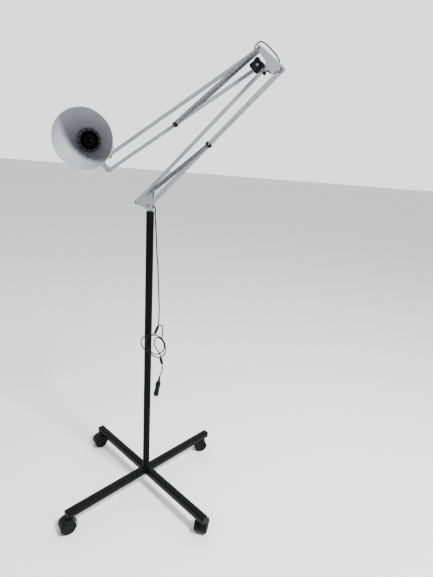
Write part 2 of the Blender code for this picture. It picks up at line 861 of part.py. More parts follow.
def shade_profile():
    """Outer side from the mouth back to the vent ring, then the inner side, as (radius, forward)."""
    flare = []
    front, back = MOUTH_AT, 0.014
    neck = NECK_R + SHADE_WALL
    for step in range(8):
        t = step / 7
        forward = front + (back - front) * t
        flare.append((MOUTH_R - (MOUTH_R - neck) * t**1.45, forward))
    outer = flare + [(neck, NECK_BACK), (neck - 0.002, NECK_BACK - SHADE_WALL)]
    inner = [(r - SHADE_WALL, f) for r, f in flare]
    ring_edge = [(BORE_R, NECK_BACK - SHADE_WALL), (BORE_R, NECK_BACK), (NECK_R - 0.0018, NECK_BACK)]
    return outer + ring_edge + [(NECK_R, NECK_BACK + 0.002)] + inner[::-1]


def on_shade_axis(obj):
    """Puts a turned piece's axis along the shade, +Z towards the mouth."""
    obj.rotation_euler = (math.pi / 2, 0, HEAD_TURN)
    obj.location = head_point(-NECK_OFFSET, SHADE_RISE, 0)
    return obj


def make_head(swivel):
    tilt = pivot("head_tilt", head_point(0, 0, 0), swivel)
    shade = on_shade_axis(turned("shade", shade_profile(), 36, GREY_PAINT, closed=True))
    for i in range(VENTS):
        angle = math.tau * (i + 0.5) / VENTS
        vent = cylinder("shade_vent_%02d" % i, VENT_R, NECK_BACK - 0.005, NECK_BACK + 0.005, None, 8)
        on_shade_axis(vent)
        offset = Vector((VENT_RING_R * math.cos(angle), VENT_RING_R * math.sin(angle), 0))
        vent.location += vent.rotation_euler.to_matrix() @ offset
        boolean(shade, vent)
    attach(shade, tilt)

    back = NECK_BACK - SHADE_WALL - GAP
    cap_r = BORE_R + 0.0016
    cap_back = back - CAP_DEPTH
    cap = turned(
        "socket_cap",
        [
            (NECK_R - 0.0010, back),
            (NECK_R - 0.0010, back - 0.0016),
            (cap_r, back - 0.0022),
            (cap_r, cap_back + 0.004),
            (cap_r - 0.004, cap_back),
            (0.0035, cap_back),
            (0.0035, cap_back + 0.0018),
            (BORE_R - 0.004, cap_back + 0.0018),
            (BORE_R, cap_back + 0.0055),
            (BORE_R, back),
        ],
        32,
        BLACK_PLASTIC,
        closed=True,
    )
    attach(on_shade_axis(cap), tilt)

    holder_back = cap_back + 0.0018 + GAP
    holder_front = back - 0.004
    bore = 0.0138
    holder = turned(
        "lampholder",
        [
            (0, holder_back + 0.009),
            (bore, holder_back + 0.009),
            (bore, holder_front),
            (HOLDER_R, holder_front),
            (HOLDER_R, holder_back + 0.004),
            (HOLDER_R - 0.003, holder_back),
            (0, holder_back),
        ],
        24,
        BLACK_PLASTIC,
    )
    attach(on_shade_axis(holder), tilt)

    shell_back = holder_back + 0.009 + GAP
    shell_r = bore - GAP
    shell = turned(
        "lampholder_shell",
        [
            (0, shell_back + 0.004),
            (0.003, shell_back + 0.004),
            (0.004, shell_back + 0.0008),
            (shell_r - 0.0008, shell_back + 0.0008),
            (shell_r - 0.0008, holder_front - 0.002),
            (shell_r, holder_front - 0.002),
            (shell_r, shell_back),
            (0, shell_back),
        ],
        20,
        BRASS,
    )
    attach(on_shade_axis(shell), tilt)

    switch_at = pivot("switch_turn", head_point(-NECK_OFFSET, SHADE_RISE, cap_back - 0.001), tilt)
    knob = turned(
        "switch_knob",
        [
            (0, cap_back + 0.0012),
            (0.0030, cap_back + 0.0012),
            (0.0030, cap_back - GAP),
            (0.0070, cap_back - GAP),
            (0.0062, cap_back - 0.0100),
            (0, cap_back - 0.0105),
        ],
        16,
        BLACK_PLASTIC,
    )
    attach(on_shade_axis(knob), switch_at)

    reach_up = SHADE_RISE + 0.008
    tab = extruded(
        "tilt_tab",
        [
            rounded(
                [
                    (-0.0100, -0.0100, 0.0085),
                    (0.0100, -0.0100, 0.0085),
                    (0.0075, reach_up, 0.003),
                    (-0.0075, reach_up, 0.003),
                ],
                3,
            ),
            ring(HOLE_R, 12),
        ],
        0.0014,
        GREY_PAINT,
    )
    tab.rotation_euler = (math.pi / 2, 0, HEAD_TURN + math.pi / 2)
    tab.location = head_point(-0.0095, 0, 0)
    attach(tab, tilt)
    return cap_back


# ---------------------------------------------------------------- cords


CORD_EXIT = Vector((0.0124, 0, 1.0985))
DROP_ROUTE = [
    (0.0127, 0.0000, 1.0985),
    (0.0154, -0.0004, 1.0981),
    (0.0180, -0.0015, 1.0950),
    (0.0190, -0.0030, 1.0890),
    (0.0200, -0.0060, 1.0800),
    (0.0220, -0.0100, 1.0660),
    (0.0265, -0.0150, 1.0400),
    (0.0310, -0.0190, 0.9970),
    (0.0350, -0.0200, 0.9470),
    (0.0400, -0.0200, 0.8900),
    (0.0430, -0.0200, 0.8280),
    (0.0470, -0.0205, 0.7640),
    (0.0468, -0.0210, 0.7280),
    (0.0465, -0.0220, 0.7030),
]
TIE_TOP = [(0.0462, -0.0224, 0.7008), (0.0351, -0.0260, 0.6690)]
COIL_CENTRE = Vector((0.0315, -0.0280, 0.6230))
COIL_TURN = math.radians(12)
COIL_OUTER = 0.044
COIL_INNER = 0.031
COIL_HALF = 0.006
TIE_BOTTOM = [(0.0575, -0.0220, 0.5790), (0.0623, -0.0210, 0.5563)]
TAIL_ROUTE = [
    (0.0624, -0.0209, 0.5559),
    (0.0642, -0.0200, 0.5450),
    (0.0642, -0.0196, 0.5350),
    (0.0605, -0.0198, 0.5180),
    (0.0561, -0.0200, 0.5090),
    (0.0550, -0.0200, 0.5023),
]
PLUG_LENGTH = 0.078
PLUG_BODY_AT = 0.020


def make_cord(swivel):
    grommet = turned(
        "cord_grommet",
        [(0, CORD_EXIT.x), (0.0026, CORD_EXIT.x), (0.0031, 0.0112), (0.0031, 0.0066), (0, 0.0066)],
        12,
        BLACK_PLASTIC,
    )
    grommet.rotation_euler = (0, math.pi / 2, 0)
    grommet.location = (0, 0, CORD_EXIT.z)
    attach(grommet, swivel)
    attach(tube("cord_drop", DROP_ROUTE, CORD_R, CORD_BLACK, 3), swivel)
    attach(tube("cord_tie_top", TIE_TOP, 0.0050, CORD_BLACK), swivel)
    coil = turned(
        "cord_coil",
        [
            (COIL_OUTER - 0.002, COIL_HALF),
            (COIL_OUTER, COIL_HALF - 0.002),
            (COIL_OUTER, -COIL_HALF + 0.002),
            (COIL_OUTER - 0.002, -COIL_HALF),
            (COIL_INNER, -COIL_HALF),
            (COIL_INNER, COIL_HALF),
        ],
        28,
        CORD_BLACK,
        closed=True,
    )
    coil.rotation_euler = (math.pi / 2, 0, COIL_TURN)
    coil.location = COIL_CENTRE
    attach(coil, swivel)
    attach(tube("cord_tie_bottom", TIE_BOTTOM, 0.0054, CORD_BLACK), swivel)
    attach(tube("cord_tail", TAIL_ROUTE, CORD_R, CORD_BLACK, 3), swivel)

    start = Vector(TAIL_ROUTE[-1])
    lead = (start - Vector(TAIL_ROUTE[-2])).normalized()
    plug = turned(
        "plug",
        [
            (0, -GAP),
            (0.0028, -GAP),
            (0.0042, -PLUG_BODY_AT + 0.002),
            (0.0080, -PLUG_BODY_AT - 0.001),
            (0.0095, -PLUG_BODY_AT - 0.006),
            (0.0095, -PLUG_LENGTH + 0.006),
            (0.0080, -PLUG_LENGTH),
            (0, -PLUG_LENGTH),
        ],
        16,
        BLACK_PLASTIC,
    )
    turn = Vector((0, 0, -1)).rotation_difference(lead).to_euler()
    plug.rotation_euler = turn
    plug.location = start
    for side in (-1, 1):
        pin = box("plug_pin_" + "ab"[side > 0], (0.0015, 0.0063, 0.020), (0, 0, 0))
        pin.rotation_euler = turn
        pin.location = start + turn.to_matrix() @ Vector((side * 0.0050, 0, -PLUG_LENGTH - 0.005))
        boolean(plug, pin, "UNION")
    attach(plug, swivel)


def make_elbow_loop(elbow):
    """The slack lead that runs round the elbow, from the clip to the upper top bar."""
    run = LOWER_RUN.normalized()
    below = Vector((run.z, 0, -run.x))
    clip = ELBOW_LINK - run * 0.013 + below * (SLIM_BAR / 2 + 0.00375 + GAP)
    top_run = UPPER_RUN.normalized()
    above = Vector((top_run.z, 0, -top_run.x))
    entry = ELBOW_TOP + top_run * 0.0110 + above * (SLIM_BAR / 2 + GAP)
    route = [
        clip + run * 0.0052,
        clip + run * 0.0078,
        ELBOW_LINK + Vector((0.0068, 0.0010, -0.0094)),
        ELBOW_LINK + Vector((0.0123, 0.0040, -0.0124)),
        ELBOW_LINK + Vector((0.0175, 0.0085, -0.0130)),
        ELBOW_LINK + Vector((0.0228, 0.0114, -0.0115)),
        ELBOW_LINK + Vector((0.0275, 0.0120, -0.0065)),
        ELBOW_LINK + Vector((0.0318, 0.0121, 0.0015)),
        ELBOW_LINK + Vector((0.0345, 0.0119, 0.0085)),
        ELBOW_LINK + Vector((0.0348, 0.0114, 0.0146)),
        ELBOW_LINK + Vector((0.0326, 0.0100, 0.0210)),
        ELBOW_LINK + Vector((0.0237, 0.0070, 0.0325)),
        ELBOW_LINK + Vector((0.0061, 0.0030, 0.0480)),
        ELBOW_LINK + Vector((-0.0060, 0.0010, 0.0568)),
        ELBOW_LINK + Vector((-0.0165, 0.0000, 0.0620)),
        ELBOW_LINK + Vector((-0.0250, 0.0000, 0.0606)),
        ELBOW_LINK + Vector((-0.0312, 0.0000, 0.0560)),
        entry + above * 0.0040,
        entry,
    ]
    attach(tube("elbow_cord_loop", route, LEAD_R, CORD_BLACK, 3), elbow)


def make_head_cord(link, cap_back):
    """The lead from the end of the upper top bar to the back of the socket cap."""
    run = UPPER_RUN.normalized()
    start = HEAD_HIGH + run * (BAR_END + GAP)
    entry = cap_back - GAP
    route = [
        start,
        start + run * 0.0100 + Vector((0, 0, -0.0012)),
        head_point(-0.0210, -0.0430, -0.0095),
        head_point(-0.0320, -0.0420, -0.0210),
        head_point(-0.0380, -0.0340, -0.0350),
        head_point(-0.0395, -0.0200, -0.0510),
        head_point(-0.0395, -0.0070, -0.0640),
        head_point(-0.0395, 0.0020, -0.0690),
        head_point(-0.0395, 0.0080, -0.0670),
        head_point(-0.0395, 0.0100, -0.0600),
        head_point(-0.0395, 0.0100, entry),
    ]
    attach(tube("head_cord", route, LEAD_R, CORD_BLACK, 3), link)


def main():
    clear_scene()
    make_collections()
    stand = make_stand()
    for place in LEG_HEADINGS:
        cap = leg_cap("leg_cap_" + place, LEG_HEADINGS[place])
        attach(cap, stand)
        swivel, ahead, axle_at = make_caster(place, stand)
        if place == "front_left":
            make_brake(swivel, ahead, axle_at)
    swivel = pivot("arm_swivel", (0, 0, POLE_TOP), stand)
    make_bracket(swivel)
    make_cord(swivel)
    lower = make_lower_arm(swivel)
    elbow = make_elbow(lower)
    make_knob(elbow)
    make_elbow_loop(elbow)
    upper = make_upper_arm(elbow)
    link, web_top = make_head_link(upper)
    head = make_knuckle(link, web_top)
    cap_back = make_head(head)
    make_head_cord(link, cap_back)
    for cutter in CUTTERS.objects:
        cutter.hide_render = True


main()
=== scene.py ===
"""Looks of the swing-arm floor lamp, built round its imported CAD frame."""

import math

import bmesh
import bpy
from mathutils import Matrix, Vector


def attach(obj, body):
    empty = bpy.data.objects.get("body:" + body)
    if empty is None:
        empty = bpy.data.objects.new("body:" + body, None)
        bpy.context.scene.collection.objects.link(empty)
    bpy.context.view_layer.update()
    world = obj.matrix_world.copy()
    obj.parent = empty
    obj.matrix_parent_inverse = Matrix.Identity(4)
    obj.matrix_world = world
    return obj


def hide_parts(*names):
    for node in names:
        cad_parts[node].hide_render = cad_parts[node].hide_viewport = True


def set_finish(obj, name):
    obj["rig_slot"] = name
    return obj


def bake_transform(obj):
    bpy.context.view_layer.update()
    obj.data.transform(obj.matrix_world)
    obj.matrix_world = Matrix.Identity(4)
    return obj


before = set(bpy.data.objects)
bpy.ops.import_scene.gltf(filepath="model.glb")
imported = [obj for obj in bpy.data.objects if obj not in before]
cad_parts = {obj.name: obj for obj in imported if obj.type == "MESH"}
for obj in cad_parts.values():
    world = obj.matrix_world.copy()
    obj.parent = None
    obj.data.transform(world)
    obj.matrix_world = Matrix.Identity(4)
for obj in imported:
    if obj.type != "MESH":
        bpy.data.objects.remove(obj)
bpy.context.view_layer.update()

# Dimensions, the same as the CAD's, in metres
# stand
POLE_TOP = 1.0814
POLE_R = 0.0127
LEG_TOP = 0.0834
LEG_BOTTOM = 0.058
# arms: half the width over the plates, the bars' length between bolts, and the bolts' centres
PLATE_OUT = 0.0086
ARM_LENGTH = 0.550
LOWER_ANGLE = math.radians(46.45)
UPPER_ANGLE = math.radians(33.9)
PIVOT_B = Vector((0, 0, POLE_TOP + 0.0236))
LOWER_TILT = math.radians(-5)
PIVOT_A = PIVOT_B - 0.046 * Vector((math.cos(LOWER_TILT), 0, math.sin(LOWER_TILT)))
LOWER_DIR = Vector((math.cos(LOWER_ANGLE), 0, math.sin(LOWER_ANGLE)))
UPPER_DIR = -Vector((math.cos(UPPER_ANGLE), 0, math.sin(UPPER_ANGLE)))
ELBOW_LINK = PIVOT_A + ARM_LENGTH * LOWER_DIR
ELBOW_MAIN = PIVOT_B + ARM_LENGTH * LOWER_DIR
ELBOW_KNOB = ELBOW_LINK - Vector((0.021, 0, 0))
ELBOW_TOP = ELBOW_KNOB + Vector((0, 0, 0.046))
HEAD_LOW = ELBOW_KNOB + ARM_LENGTH * UPPER_DIR
HEAD_HIGH = ELBOW_TOP + ARM_LENGTH * UPPER_DIR
# the springs' ends
LOWER_HOOK = PIVOT_B + Vector((0.0039, 0, 0.0428))
LOWER_CLIP = PIVOT_B + 0.266 * LOWER_DIR
UPPER_COLLAR = ELBOW_KNOB + 0.2835 * UPPER_DIR
# head: its swivel and tilt axes, the top of the head link's web, and the socket cap's ends
HEAD_SWIVEL = HEAD_HIGH + Vector((-0.0106, 0, 0))
TILT_Z = POLE_TOP + 0.189
WEB_TOP = HEAD_LOW.z + 0.0565
HEAD_TURN = math.radians(22)
TILT_AXIS = Vector((math.cos(HEAD_TURN), math.sin(HEAD_TURN), 0))
MOUTH_DIR = Vector((math.sin(HEAD_TURN), -math.cos(HEAD_TURN), 0))
SHADE_AXIS = Vector((HEAD_SWIVEL.x, 0, TILT_Z + 0.0185)) - 0.050 * TILT_AXIS
CAP_FRONT = -0.0085
CAP_BACK = CAP_FRONT - 0.044
CORD_R = 0.0020
LEAD_R = 0.0018

# The angle past which an edge stays sharp, on machined pieces and on tubes
FINE = math.radians(38)
ROUND = math.radians(60)


def head_point(across, rise, forward):
    """A point of the head, counted from where the tilt axis crosses the knuckle."""
    return Vector((HEAD_SWIVEL.x, 0, TILT_Z + rise)) + across * TILT_AXIS + forward * MOUTH_DIR


def placed(origin, x, y, z):
    """The matrix of a frame at origin with these three axes."""
    return Matrix.Translation(origin) @ Matrix((x, y, z)).transposed().to_4x4()


def letter(side):
    return "ab"[side > 0]


def ring(radius, count, turn=0.0, centre=(0, 0)):
    """The points of a regular outline with count corners."""
    angles = [turn + math.tau * i / count for i in range(count)]
    return [(centre[0] + radius * math.cos(a), centre[1] + radius * math.sin(a)) for a in angles]


# ---------------------------------------------------------------- camera

camera = bpy.data.objects.new("camera", bpy.data.cameras.new("camera"))
bpy.context.scene.collection.objects.link(camera)
right = Vector((0.9677, 0.2436, 0.0650))
up = Vector((-0.1340, 0.2785, 0.9510))
back = right.cross(up).normalized()
up = back.cross(right).normalized()
camera.matrix_world = placed((0.5261, -1.2589, 1.2643), right, up, back)
camera.data.sensor_fit = "HORIZONTAL"
camera.data.sensor_width = 36
camera.data.lens = 34.40
camera.data.clip_end = 40
bpy.context.scene.camera = camera

# ---------------------------------------------------------------- materials


class Shader:
    """A Principled material built node by node."""

    def __init__(self, name):
        self.material = bpy.data.materials.new(name)
        self.material.use_nodes = True
        self.tree = self.material.node_tree
        self.main = self.tree.nodes["Principled BSDF"]
        self.coords = self.tree.nodes.new("ShaderNodeTexCoord")

    def node(self, kind, settings=None, **inputs):
        made = self.tree.nodes.new("ShaderNode" + kind)
        for key, value in (settings or {}).items():
            setattr(made, key, value)
        for key, value in inputs.items():
            self.put(made.inputs[key.replace("_", " ")], value)
        return made

    def put(self, socket, value):
        if isinstance(value, bpy.types.NodeSocket):
            self.tree.links.new(value, socket)
        else:
            socket.default_value = value

    def noise(self, scale, detail=4.0, roughness=0.55, stretch=None):
        where = self.coords.outputs["Object"]
        if stretch:
            mapping = self.node("Mapping", Vector=where, Scale=stretch)
            where = mapping.outputs[0]
        made = self.node("TexNoise", Vector=where, Scale=scale, Detail=detail, Roughness=roughness)
        return made.outputs["Fac"]

    def spread(self, value, low, high, to_low, to_high):
        made = self.node("MapRange", Value=value)
        for i, number in enumerate((low, high, to_low, to_high)):
            made.inputs[i + 1].default_value = number
        return made.outputs[0]

    def blend(self, factor, a, b):
        made = self.node("Mix", {"data_type": "RGBA"})
        self.put(made.inputs[0], factor)
        for socket, value in ((made.inputs[6], a), (made.inputs[7], b)):
            self.put(socket, (*value, 1) if isinstance(value, tuple) else value)
        return made.outputs[2]

    def math(self, operation, a, b):
        made = self.node("Math", {"operation": operation})
        self.put(made.inputs[0], a)
        self.put(made.inputs[1], b)
        return made.outputs[0]

    def facing_up(self):
        normal = self.node("NewGeometry").outputs["Normal"]
        return self.node("SeparateXYZ", Vector=normal).outputs["Z"]

    def bump(self, height, strength, distance):
        made = self.node("Bump", Height=height, Strength=strength, Distance=distance)
        self.put(self.main.inputs["Normal"], made.outputs[0])

    def finish(self, **inputs):
        for key, value in inputs.items():
            self.put(self.main.inputs[key.replace("_", " ")], value)
        return self.material


def painted(name, colour, dust_and_top_light, rough, dust_and_top_light_share, peel=0.25, shine=0.5):
    """Sprayed metal: soft mottling, orange peel, and on the faces that look up a lighter tint that is partly
    dust and partly painted top light.
    """
    s = Shader(name)
    mottled = s.spread(s.noise(9), 0.3, 0.7, 0.0, 1.0)
    darker = tuple(c * 0.86 for c in colour)
    base = s.blend(mottled, darker, colour)
    speck = s.spread(s.noise(70, 3), 0.35, 0.75, 0.3, 1.0)
    # faces that look up get a lighter speckled tint: partly dust, partly painted light falling on the tops
    upward = s.spread(s.facing_up(), 0.35, 1.0, 0.0, dust_and_top_light_share)
    dust_and_top_light_mask = s.math("MULTIPLY", upward, speck)
    base = s.blend(dust_and_top_light_mask, base, dust_and_top_light)
    roughness = s.spread(s.noise(36, 5), 0.3, 0.7, rough - 0.06, rough + 0.08)
    roughness = s.math("ADD", roughness, s.math("MULTIPLY", dust_and_top_light_mask, 0.35))
    s.bump(s.noise(620, 2), peel, 0.0003)
    return s.finish(Base_Color=base, Roughness=roughness, Specular_IOR_Level=shine)


def plastic(name, colour, rough, grain=900, strength=0.35):
    """Moulded plastic with a fine grain, and on top a lighter tint that is partly dust and partly painted top
    light.
    """
    s = Shader(name)
    mottled = s.spread(s.noise(60, 5), 0.3, 0.7, 0.0, 1.0)
    lighter = tuple(c * 1.5 + 0.001 for c in colour)
    # faces that look up are lightened: partly dust, partly painted light falling on the tops
    upward = s.spread(s.facing_up(), 0.3, 1.0, 0.0, 0.10)
    base = s.blend(mottled, colour, lighter)
    base = s.blend(upward, base, (0.045, 0.045, 0.044))
    roughness = s.spread(s.noise(45, 4), 0.3, 0.7, rough - 0.07, rough + 0.09)
    s.bump(s.noise(grain, 3), strength, 0.0002)
    return s.finish(Base_Color=base, Roughness=roughness, Specular_IOR_Level=0.08)


def metal(name, colour, tarnish, rough, stretch=(1, 1, 14)):
    """Bare metal with stains and brush marks."""
    s = Shader(name)
    stained = s.spread(s.noise(120, 6), 0.45, 0.75, 0.0, 0.75)
    base = s.blend(stained, colour, tarnish)
    brushed = s.noise(260, 4, 0.6, stretch)
    roughness = s.spread(brushed, 0.3, 0.7, rough - 0.08, rough + 0.14)
    s.bump(brushed, 0.18, 0.0002)
    return s.finish(Base_Color=base, Roughness=roughness, Metallic=1.0)


# each painted look's second colour tints the faces that look up: partly dust, partly painted top light
BLACK_PAINT = painted(
    "black_paint_look", (0.0028, 0.0030, 0.0034), (0.030, 0.031, 0.033), 0.34, 0.04, shine=0.06
)
GREY_PAINT = painted("grey_paint_look", (0.235, 0.25, 0.262), (0.30, 0.31, 0.315), 0.46, 0.10, 0.03)
SHADE_OUTSIDE = painted("shade_outside_look", (0.31, 0.325, 0.34), (0.40, 0.41, 0.41), 0.36, 0.15, 0.10)
SHADE_INSIDE = painted("shade_inside_look", (0.31, 0.325, 0.35), (0.33, 0.34, 0.36), 0.34, 0.10, 0.10)
# the vent ring deep in the shade's neck is coloured dark as painted shade, since little light reaches it
SHADE_RING_PAINTED_SHADE = painted("shade_ring_painted_shade_look", (0.085, 0.095, 0.115), (0.10, 0.11, 0.12), 0.45, 0.10, 0.15)
BLACK_PLASTIC = plastic("black_plastic_look", (0.0030, 0.0033, 0.0037), 0.42)
WHEEL_BLACK = plastic("wheel_black_look", (0.0050, 0.0050, 0.0054), 0.55, 420, 0.5)
CORD_BLACK = plastic("cord_black_look", (0.0045, 0.0045, 0.0050), 0.50, 1500, 0.25)
BAKELITE = plastic("holder_black_look", (0.0030, 0.0030, 0.0034), 0.38, 300, 0.12)
STEEL = metal("steel_look", (0.26, 0.26, 0.255), (0.12, 0.118, 0.115), 0.38)
SPRING_STEEL = metal("spring_steel_look", (0.21, 0.215, 0.225), (0.16, 0.16, 0.158), 0.58, (1, 1, 1))
# the brass is dark partly from tarnish and partly as painted shade of the deep socket
BRASS_WITH_PAINTED_SHADE = metal("brass_with_painted_shade_look", (0.20, 0.14, 0.055), (0.06, 0.045, 0.022), 0.32, (1, 1, 1))
NICKEL = metal("nickel_look", (0.66, 0.65, 0.61), (0.36, 0.35, 0.33), 0.22, (1, 1, 1))

# ---------------------------------------------------------------- shapes


def new_object(name, mesh, look, slot, smooth=FINE):
    """An object of this mesh. Edges sharper than smooth stay sharp."""
    obj = bpy.data.objects.new(name, mesh)
    bpy.context.scene.collection.objects.link(obj)
    for entry in look if isinstance(look, (list, tuple)) else [look]:
        mesh.materials.append(entry)
    mesh.polygons.foreach_set("use_smooth", [True] * len(mesh.polygons))
    mesh.set_sharp_from_angle(angle=smooth)
    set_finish(obj, slot)
    return obj


def bevel(obj, width, segments=2):
    """Rounds the object's sharp edges."""
    modifier = obj.modifiers.new("bevel", "BEVEL")
    modifier.width = width
    modifier.segments = segments
    modifier.limit_method = "ANGLE"
    modifier.angle_limit = math.radians(40)
    return obj


def axes(origin, along, side=None):
    """A frame at origin whose Z runs along the given direction."""
    z = Vector(along).normalized()
    x = Vector(side) if side else (Vector((0, 0, 1)) if abs(z.z) < 0.9 else Vector((1, 0, 0)))
    x = (x - x.dot(z) * z).normalized()
    return placed(origin, x, z.cross(x), z)


def fix_normals(mesh):
    bm = bmesh.new()
    bm.from_mesh(mesh)
    bmesh.ops.recalc_face_normals(bm, faces=bm.faces)
    bm.to_mesh(mesh)
    bm.free()


def shaped(name, verts, faces, place, look, slot, smooth=FINE):
    """An object of these points and faces, moved to place, with its faces turned outwards."""
    mesh = bpy.data.meshes.new(name)
    mesh.from_pydata(verts, [], faces)
    mesh.transform(place)
    obj = new_object(name, mesh, look, slot, smooth)
    fix_normals(mesh)
    return obj


def lathe(name, profile, steps, place, look, slot, inside=None, smooth=FINE):
    """A closed profile of (radius, height) turned about the place's Z axis.
    Its edges from the first to the last number in inside take the second look."""
    verts, faces, marks = [], [], []
    columns = []
    for i in range(steps):
        a = math.tau * i / steps
        column = []
        for k, (r, z) in enumerate(profile):
            if r < 1e-7 and i:
                column.append(columns[0][k])
            else:
                column.append(len(verts))
                verts.append((r * math.cos(a), r * math.sin(a), z))
        columns.append(column)
    count = len(profile)
    for i in range(steps):
        one, two = columns[i], columns[(i + 1) % steps]
        for k in range(count):
            m = (k + 1) % count
            corners = [one[k], one[m], two[m], two[k]]
            corners = [c for j, c in enumerate(corners) if c not in corners[:j]]
            if len(corners) > 2:
                faces.append(corners[::-1])
                marks.append(k)
    obj = shaped(name, verts, faces, place, look, slot, smooth)
    if inside:
        for face, mark in zip(obj.data.polygons, marks):
            face.material_index = int(inside[0] <= mark < inside[1])
    return obj


def sweep(name, points, radius, look, slot, sides=10):
    """A closed round tube along points. radius is a number or one for each point."""
    places = [Vector(p) for p in points]
    count = len(places)
    radii = [radius] * count if isinstance(radius, (int, float)) else list(radius)
    tangents = [(places[min(i + 1, count - 1)] - places[max(i - 1, 0)]).normalized() for i in range(count)]
    side = tangents[0].orthogonal().normalized()
    verts, faces = [], []
    for place, tangent, r in zip(places, tangents, radii):
        side = (side - side.dot(tangent) * tangent).normalized()
        other = tangent.cross(side)
        for j in range(sides):
            a = math.tau * j / sides
            verts.append(place + r * (math.cos(a) * side + math.sin(a) * other))
    for i in range(count - 1):
        for j in range(sides):
            k = (j + 1) % sides
            faces.append([i * sides + j, i * sides + k, (i + 1) * sides + k, (i + 1) * sides + j])
    faces.append(list(range(sides))[::-1])
    faces.append([(count - 1) * sides + j for j in range(sides)])
    mesh = bpy.data.meshes.new(name)
    mesh.from_pydata(verts, [], faces)
    return new_object(name, mesh, look, slot, ROUND)


def smoothed(points, steps):
    """A Catmull-Rom curve through the points."""
    places = [Vector(p) for p in points]
    places = [2 * places[0] - places[1]] + places + [2 * places[-1] - places[-2]]
    route = []
    for a, b, c, d in zip(places, places[1:], places[2:], places[3:]):
        for step in range(steps):
            t = step / steps
            square, cube = 2 * a - 5 * b + 4 * c - d, 3 * b - a - 3 * c + d
            route.append(0.5 * (2 * b + (c - a) * t + square * t * t + cube * t**3))
    route.append(places[-2])
    return route


def prism(name, loops, low, high, place, look, slot, width=0.0, segments=2):
    """Flat outlines (the first one, with the others as holes) raised from low to high on the place's Z."""
    curve = bpy.data.curves.new(name, "CURVE")
    curve.dimensions = "2D"
    curve.fill_mode = "BOTH"
    curve.extrude = (high - low) / 2
    for loop in loops:
        spline = curve.splines.new("POLY")
        spline.points.add(len(loop) - 1)
        for point, (x, y) in zip(spline.points, loop):
            point.co = (x, y, 0, 1)
        spline.use_cyclic_u = True
    temp = bpy.data.objects.new(name + "_outline", curve)
    bpy.context.scene.collection.objects.link(temp)
    graph = bpy.context.evaluated_depsgraph_get()
    mesh = bpy.data.meshes.new_from_object(temp.evaluated_get(graph))
    bpy.data.objects.remove(temp)
    mesh.name = name
    bm = bmesh.new()
    bm.from_mesh(mesh)
    bmesh.ops.remove_doubles(bm, verts=bm.verts, dist=1e-6)
    bmesh.ops.dissolve_limit(bm, angle_limit=0.01, verts=bm.verts, edges=bm.edges)
    bm.to_mesh(mesh)
    bm.free()
    mesh.materials.clear()
    mesh.transform(place @ Matrix.Translation((0, 0, (low + high) / 2)))
    obj = new_object(name, mesh, look, slot)
    return bevel(obj, width, segments) if width else obj


def block(name, size, place, look, slot, width):
    """A box with rounded edges."""
    mesh = bpy.data.meshes.new(name)
    bm = bmesh.new()
    bmesh.ops.create_cube(bm, size=1)
    bmesh.ops.scale(bm, vec=size, verts=bm.verts)
    bm.to_mesh(mesh)
    bm.free()
    mesh.transform(place)
    return bevel(new_object(name, mesh, look, slot), width)


def joined(name, parts):
    """Several pieces as one object. Each keeps its own looks, and the whole takes the first one's slot."""
    graph = bpy.context.evaluated_depsgraph_get()
    whole = bpy.data.meshes.new(name)
    bm = bmesh.new()
    looks = []
    for part in parts:
        mesh = bpy.data.meshes.new_from_object(part.evaluated_get(graph))
        mesh.transform(part.matrix_world)
        slots = []
        for entry in mesh.materials:
            if entry not in looks:
                looks.append(entry)
            slots.append(looks.index(entry))
        for face in mesh.polygons:
            face.material_index = slots[face.material_index]
        bm.from_mesh(mesh)
        bpy.data.meshes.remove(mesh)
    bm.to_mesh(whole)
    bm.free()
    for look in looks:
        whole.materials.append(look)
    slot = parts[0]["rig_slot"]
    for part in parts:
        bpy.data.objects.remove(part)
    obj = bpy.data.objects.new(name, whole)
    bpy.context.scene.collection.objects.link(obj)
    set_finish(obj, slot)
    return obj


def stand_for(obj, body, *nodes):
    """obj rides on body and is shown instead of these CAD nodes."""
    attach(obj, body)
    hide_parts(*nodes)
    return obj


def polish(node, look, body, slot, width=0.0):
    """The CAD node's own shape with welded, smooth corners and fine edges, shown in its place."""
    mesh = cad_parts[node].data.copy()
    mesh.materials.clear()
    bm = bmesh.new()
    bm.from_mesh(mesh)
    bmesh.ops.remove_doubles(bm, verts=bm.verts, dist=1e-5)
    bmesh.ops.dissolve_limit(bm, angle_limit=0.009, verts=bm.verts, edges=bm.edges)
    bm.to_mesh(mesh)
    bm.free()
    if mesh.attributes.get("custom_normal"):
        mesh.attributes.remove(mesh.attributes["custom_normal"])
    obj = new_object("look_" + node, mesh, look, slot, math.radians(50))
    if width:
        bevel(obj, width)
    stand_for(obj, body, node)


# ---------------------------------------------------------------- mains cord

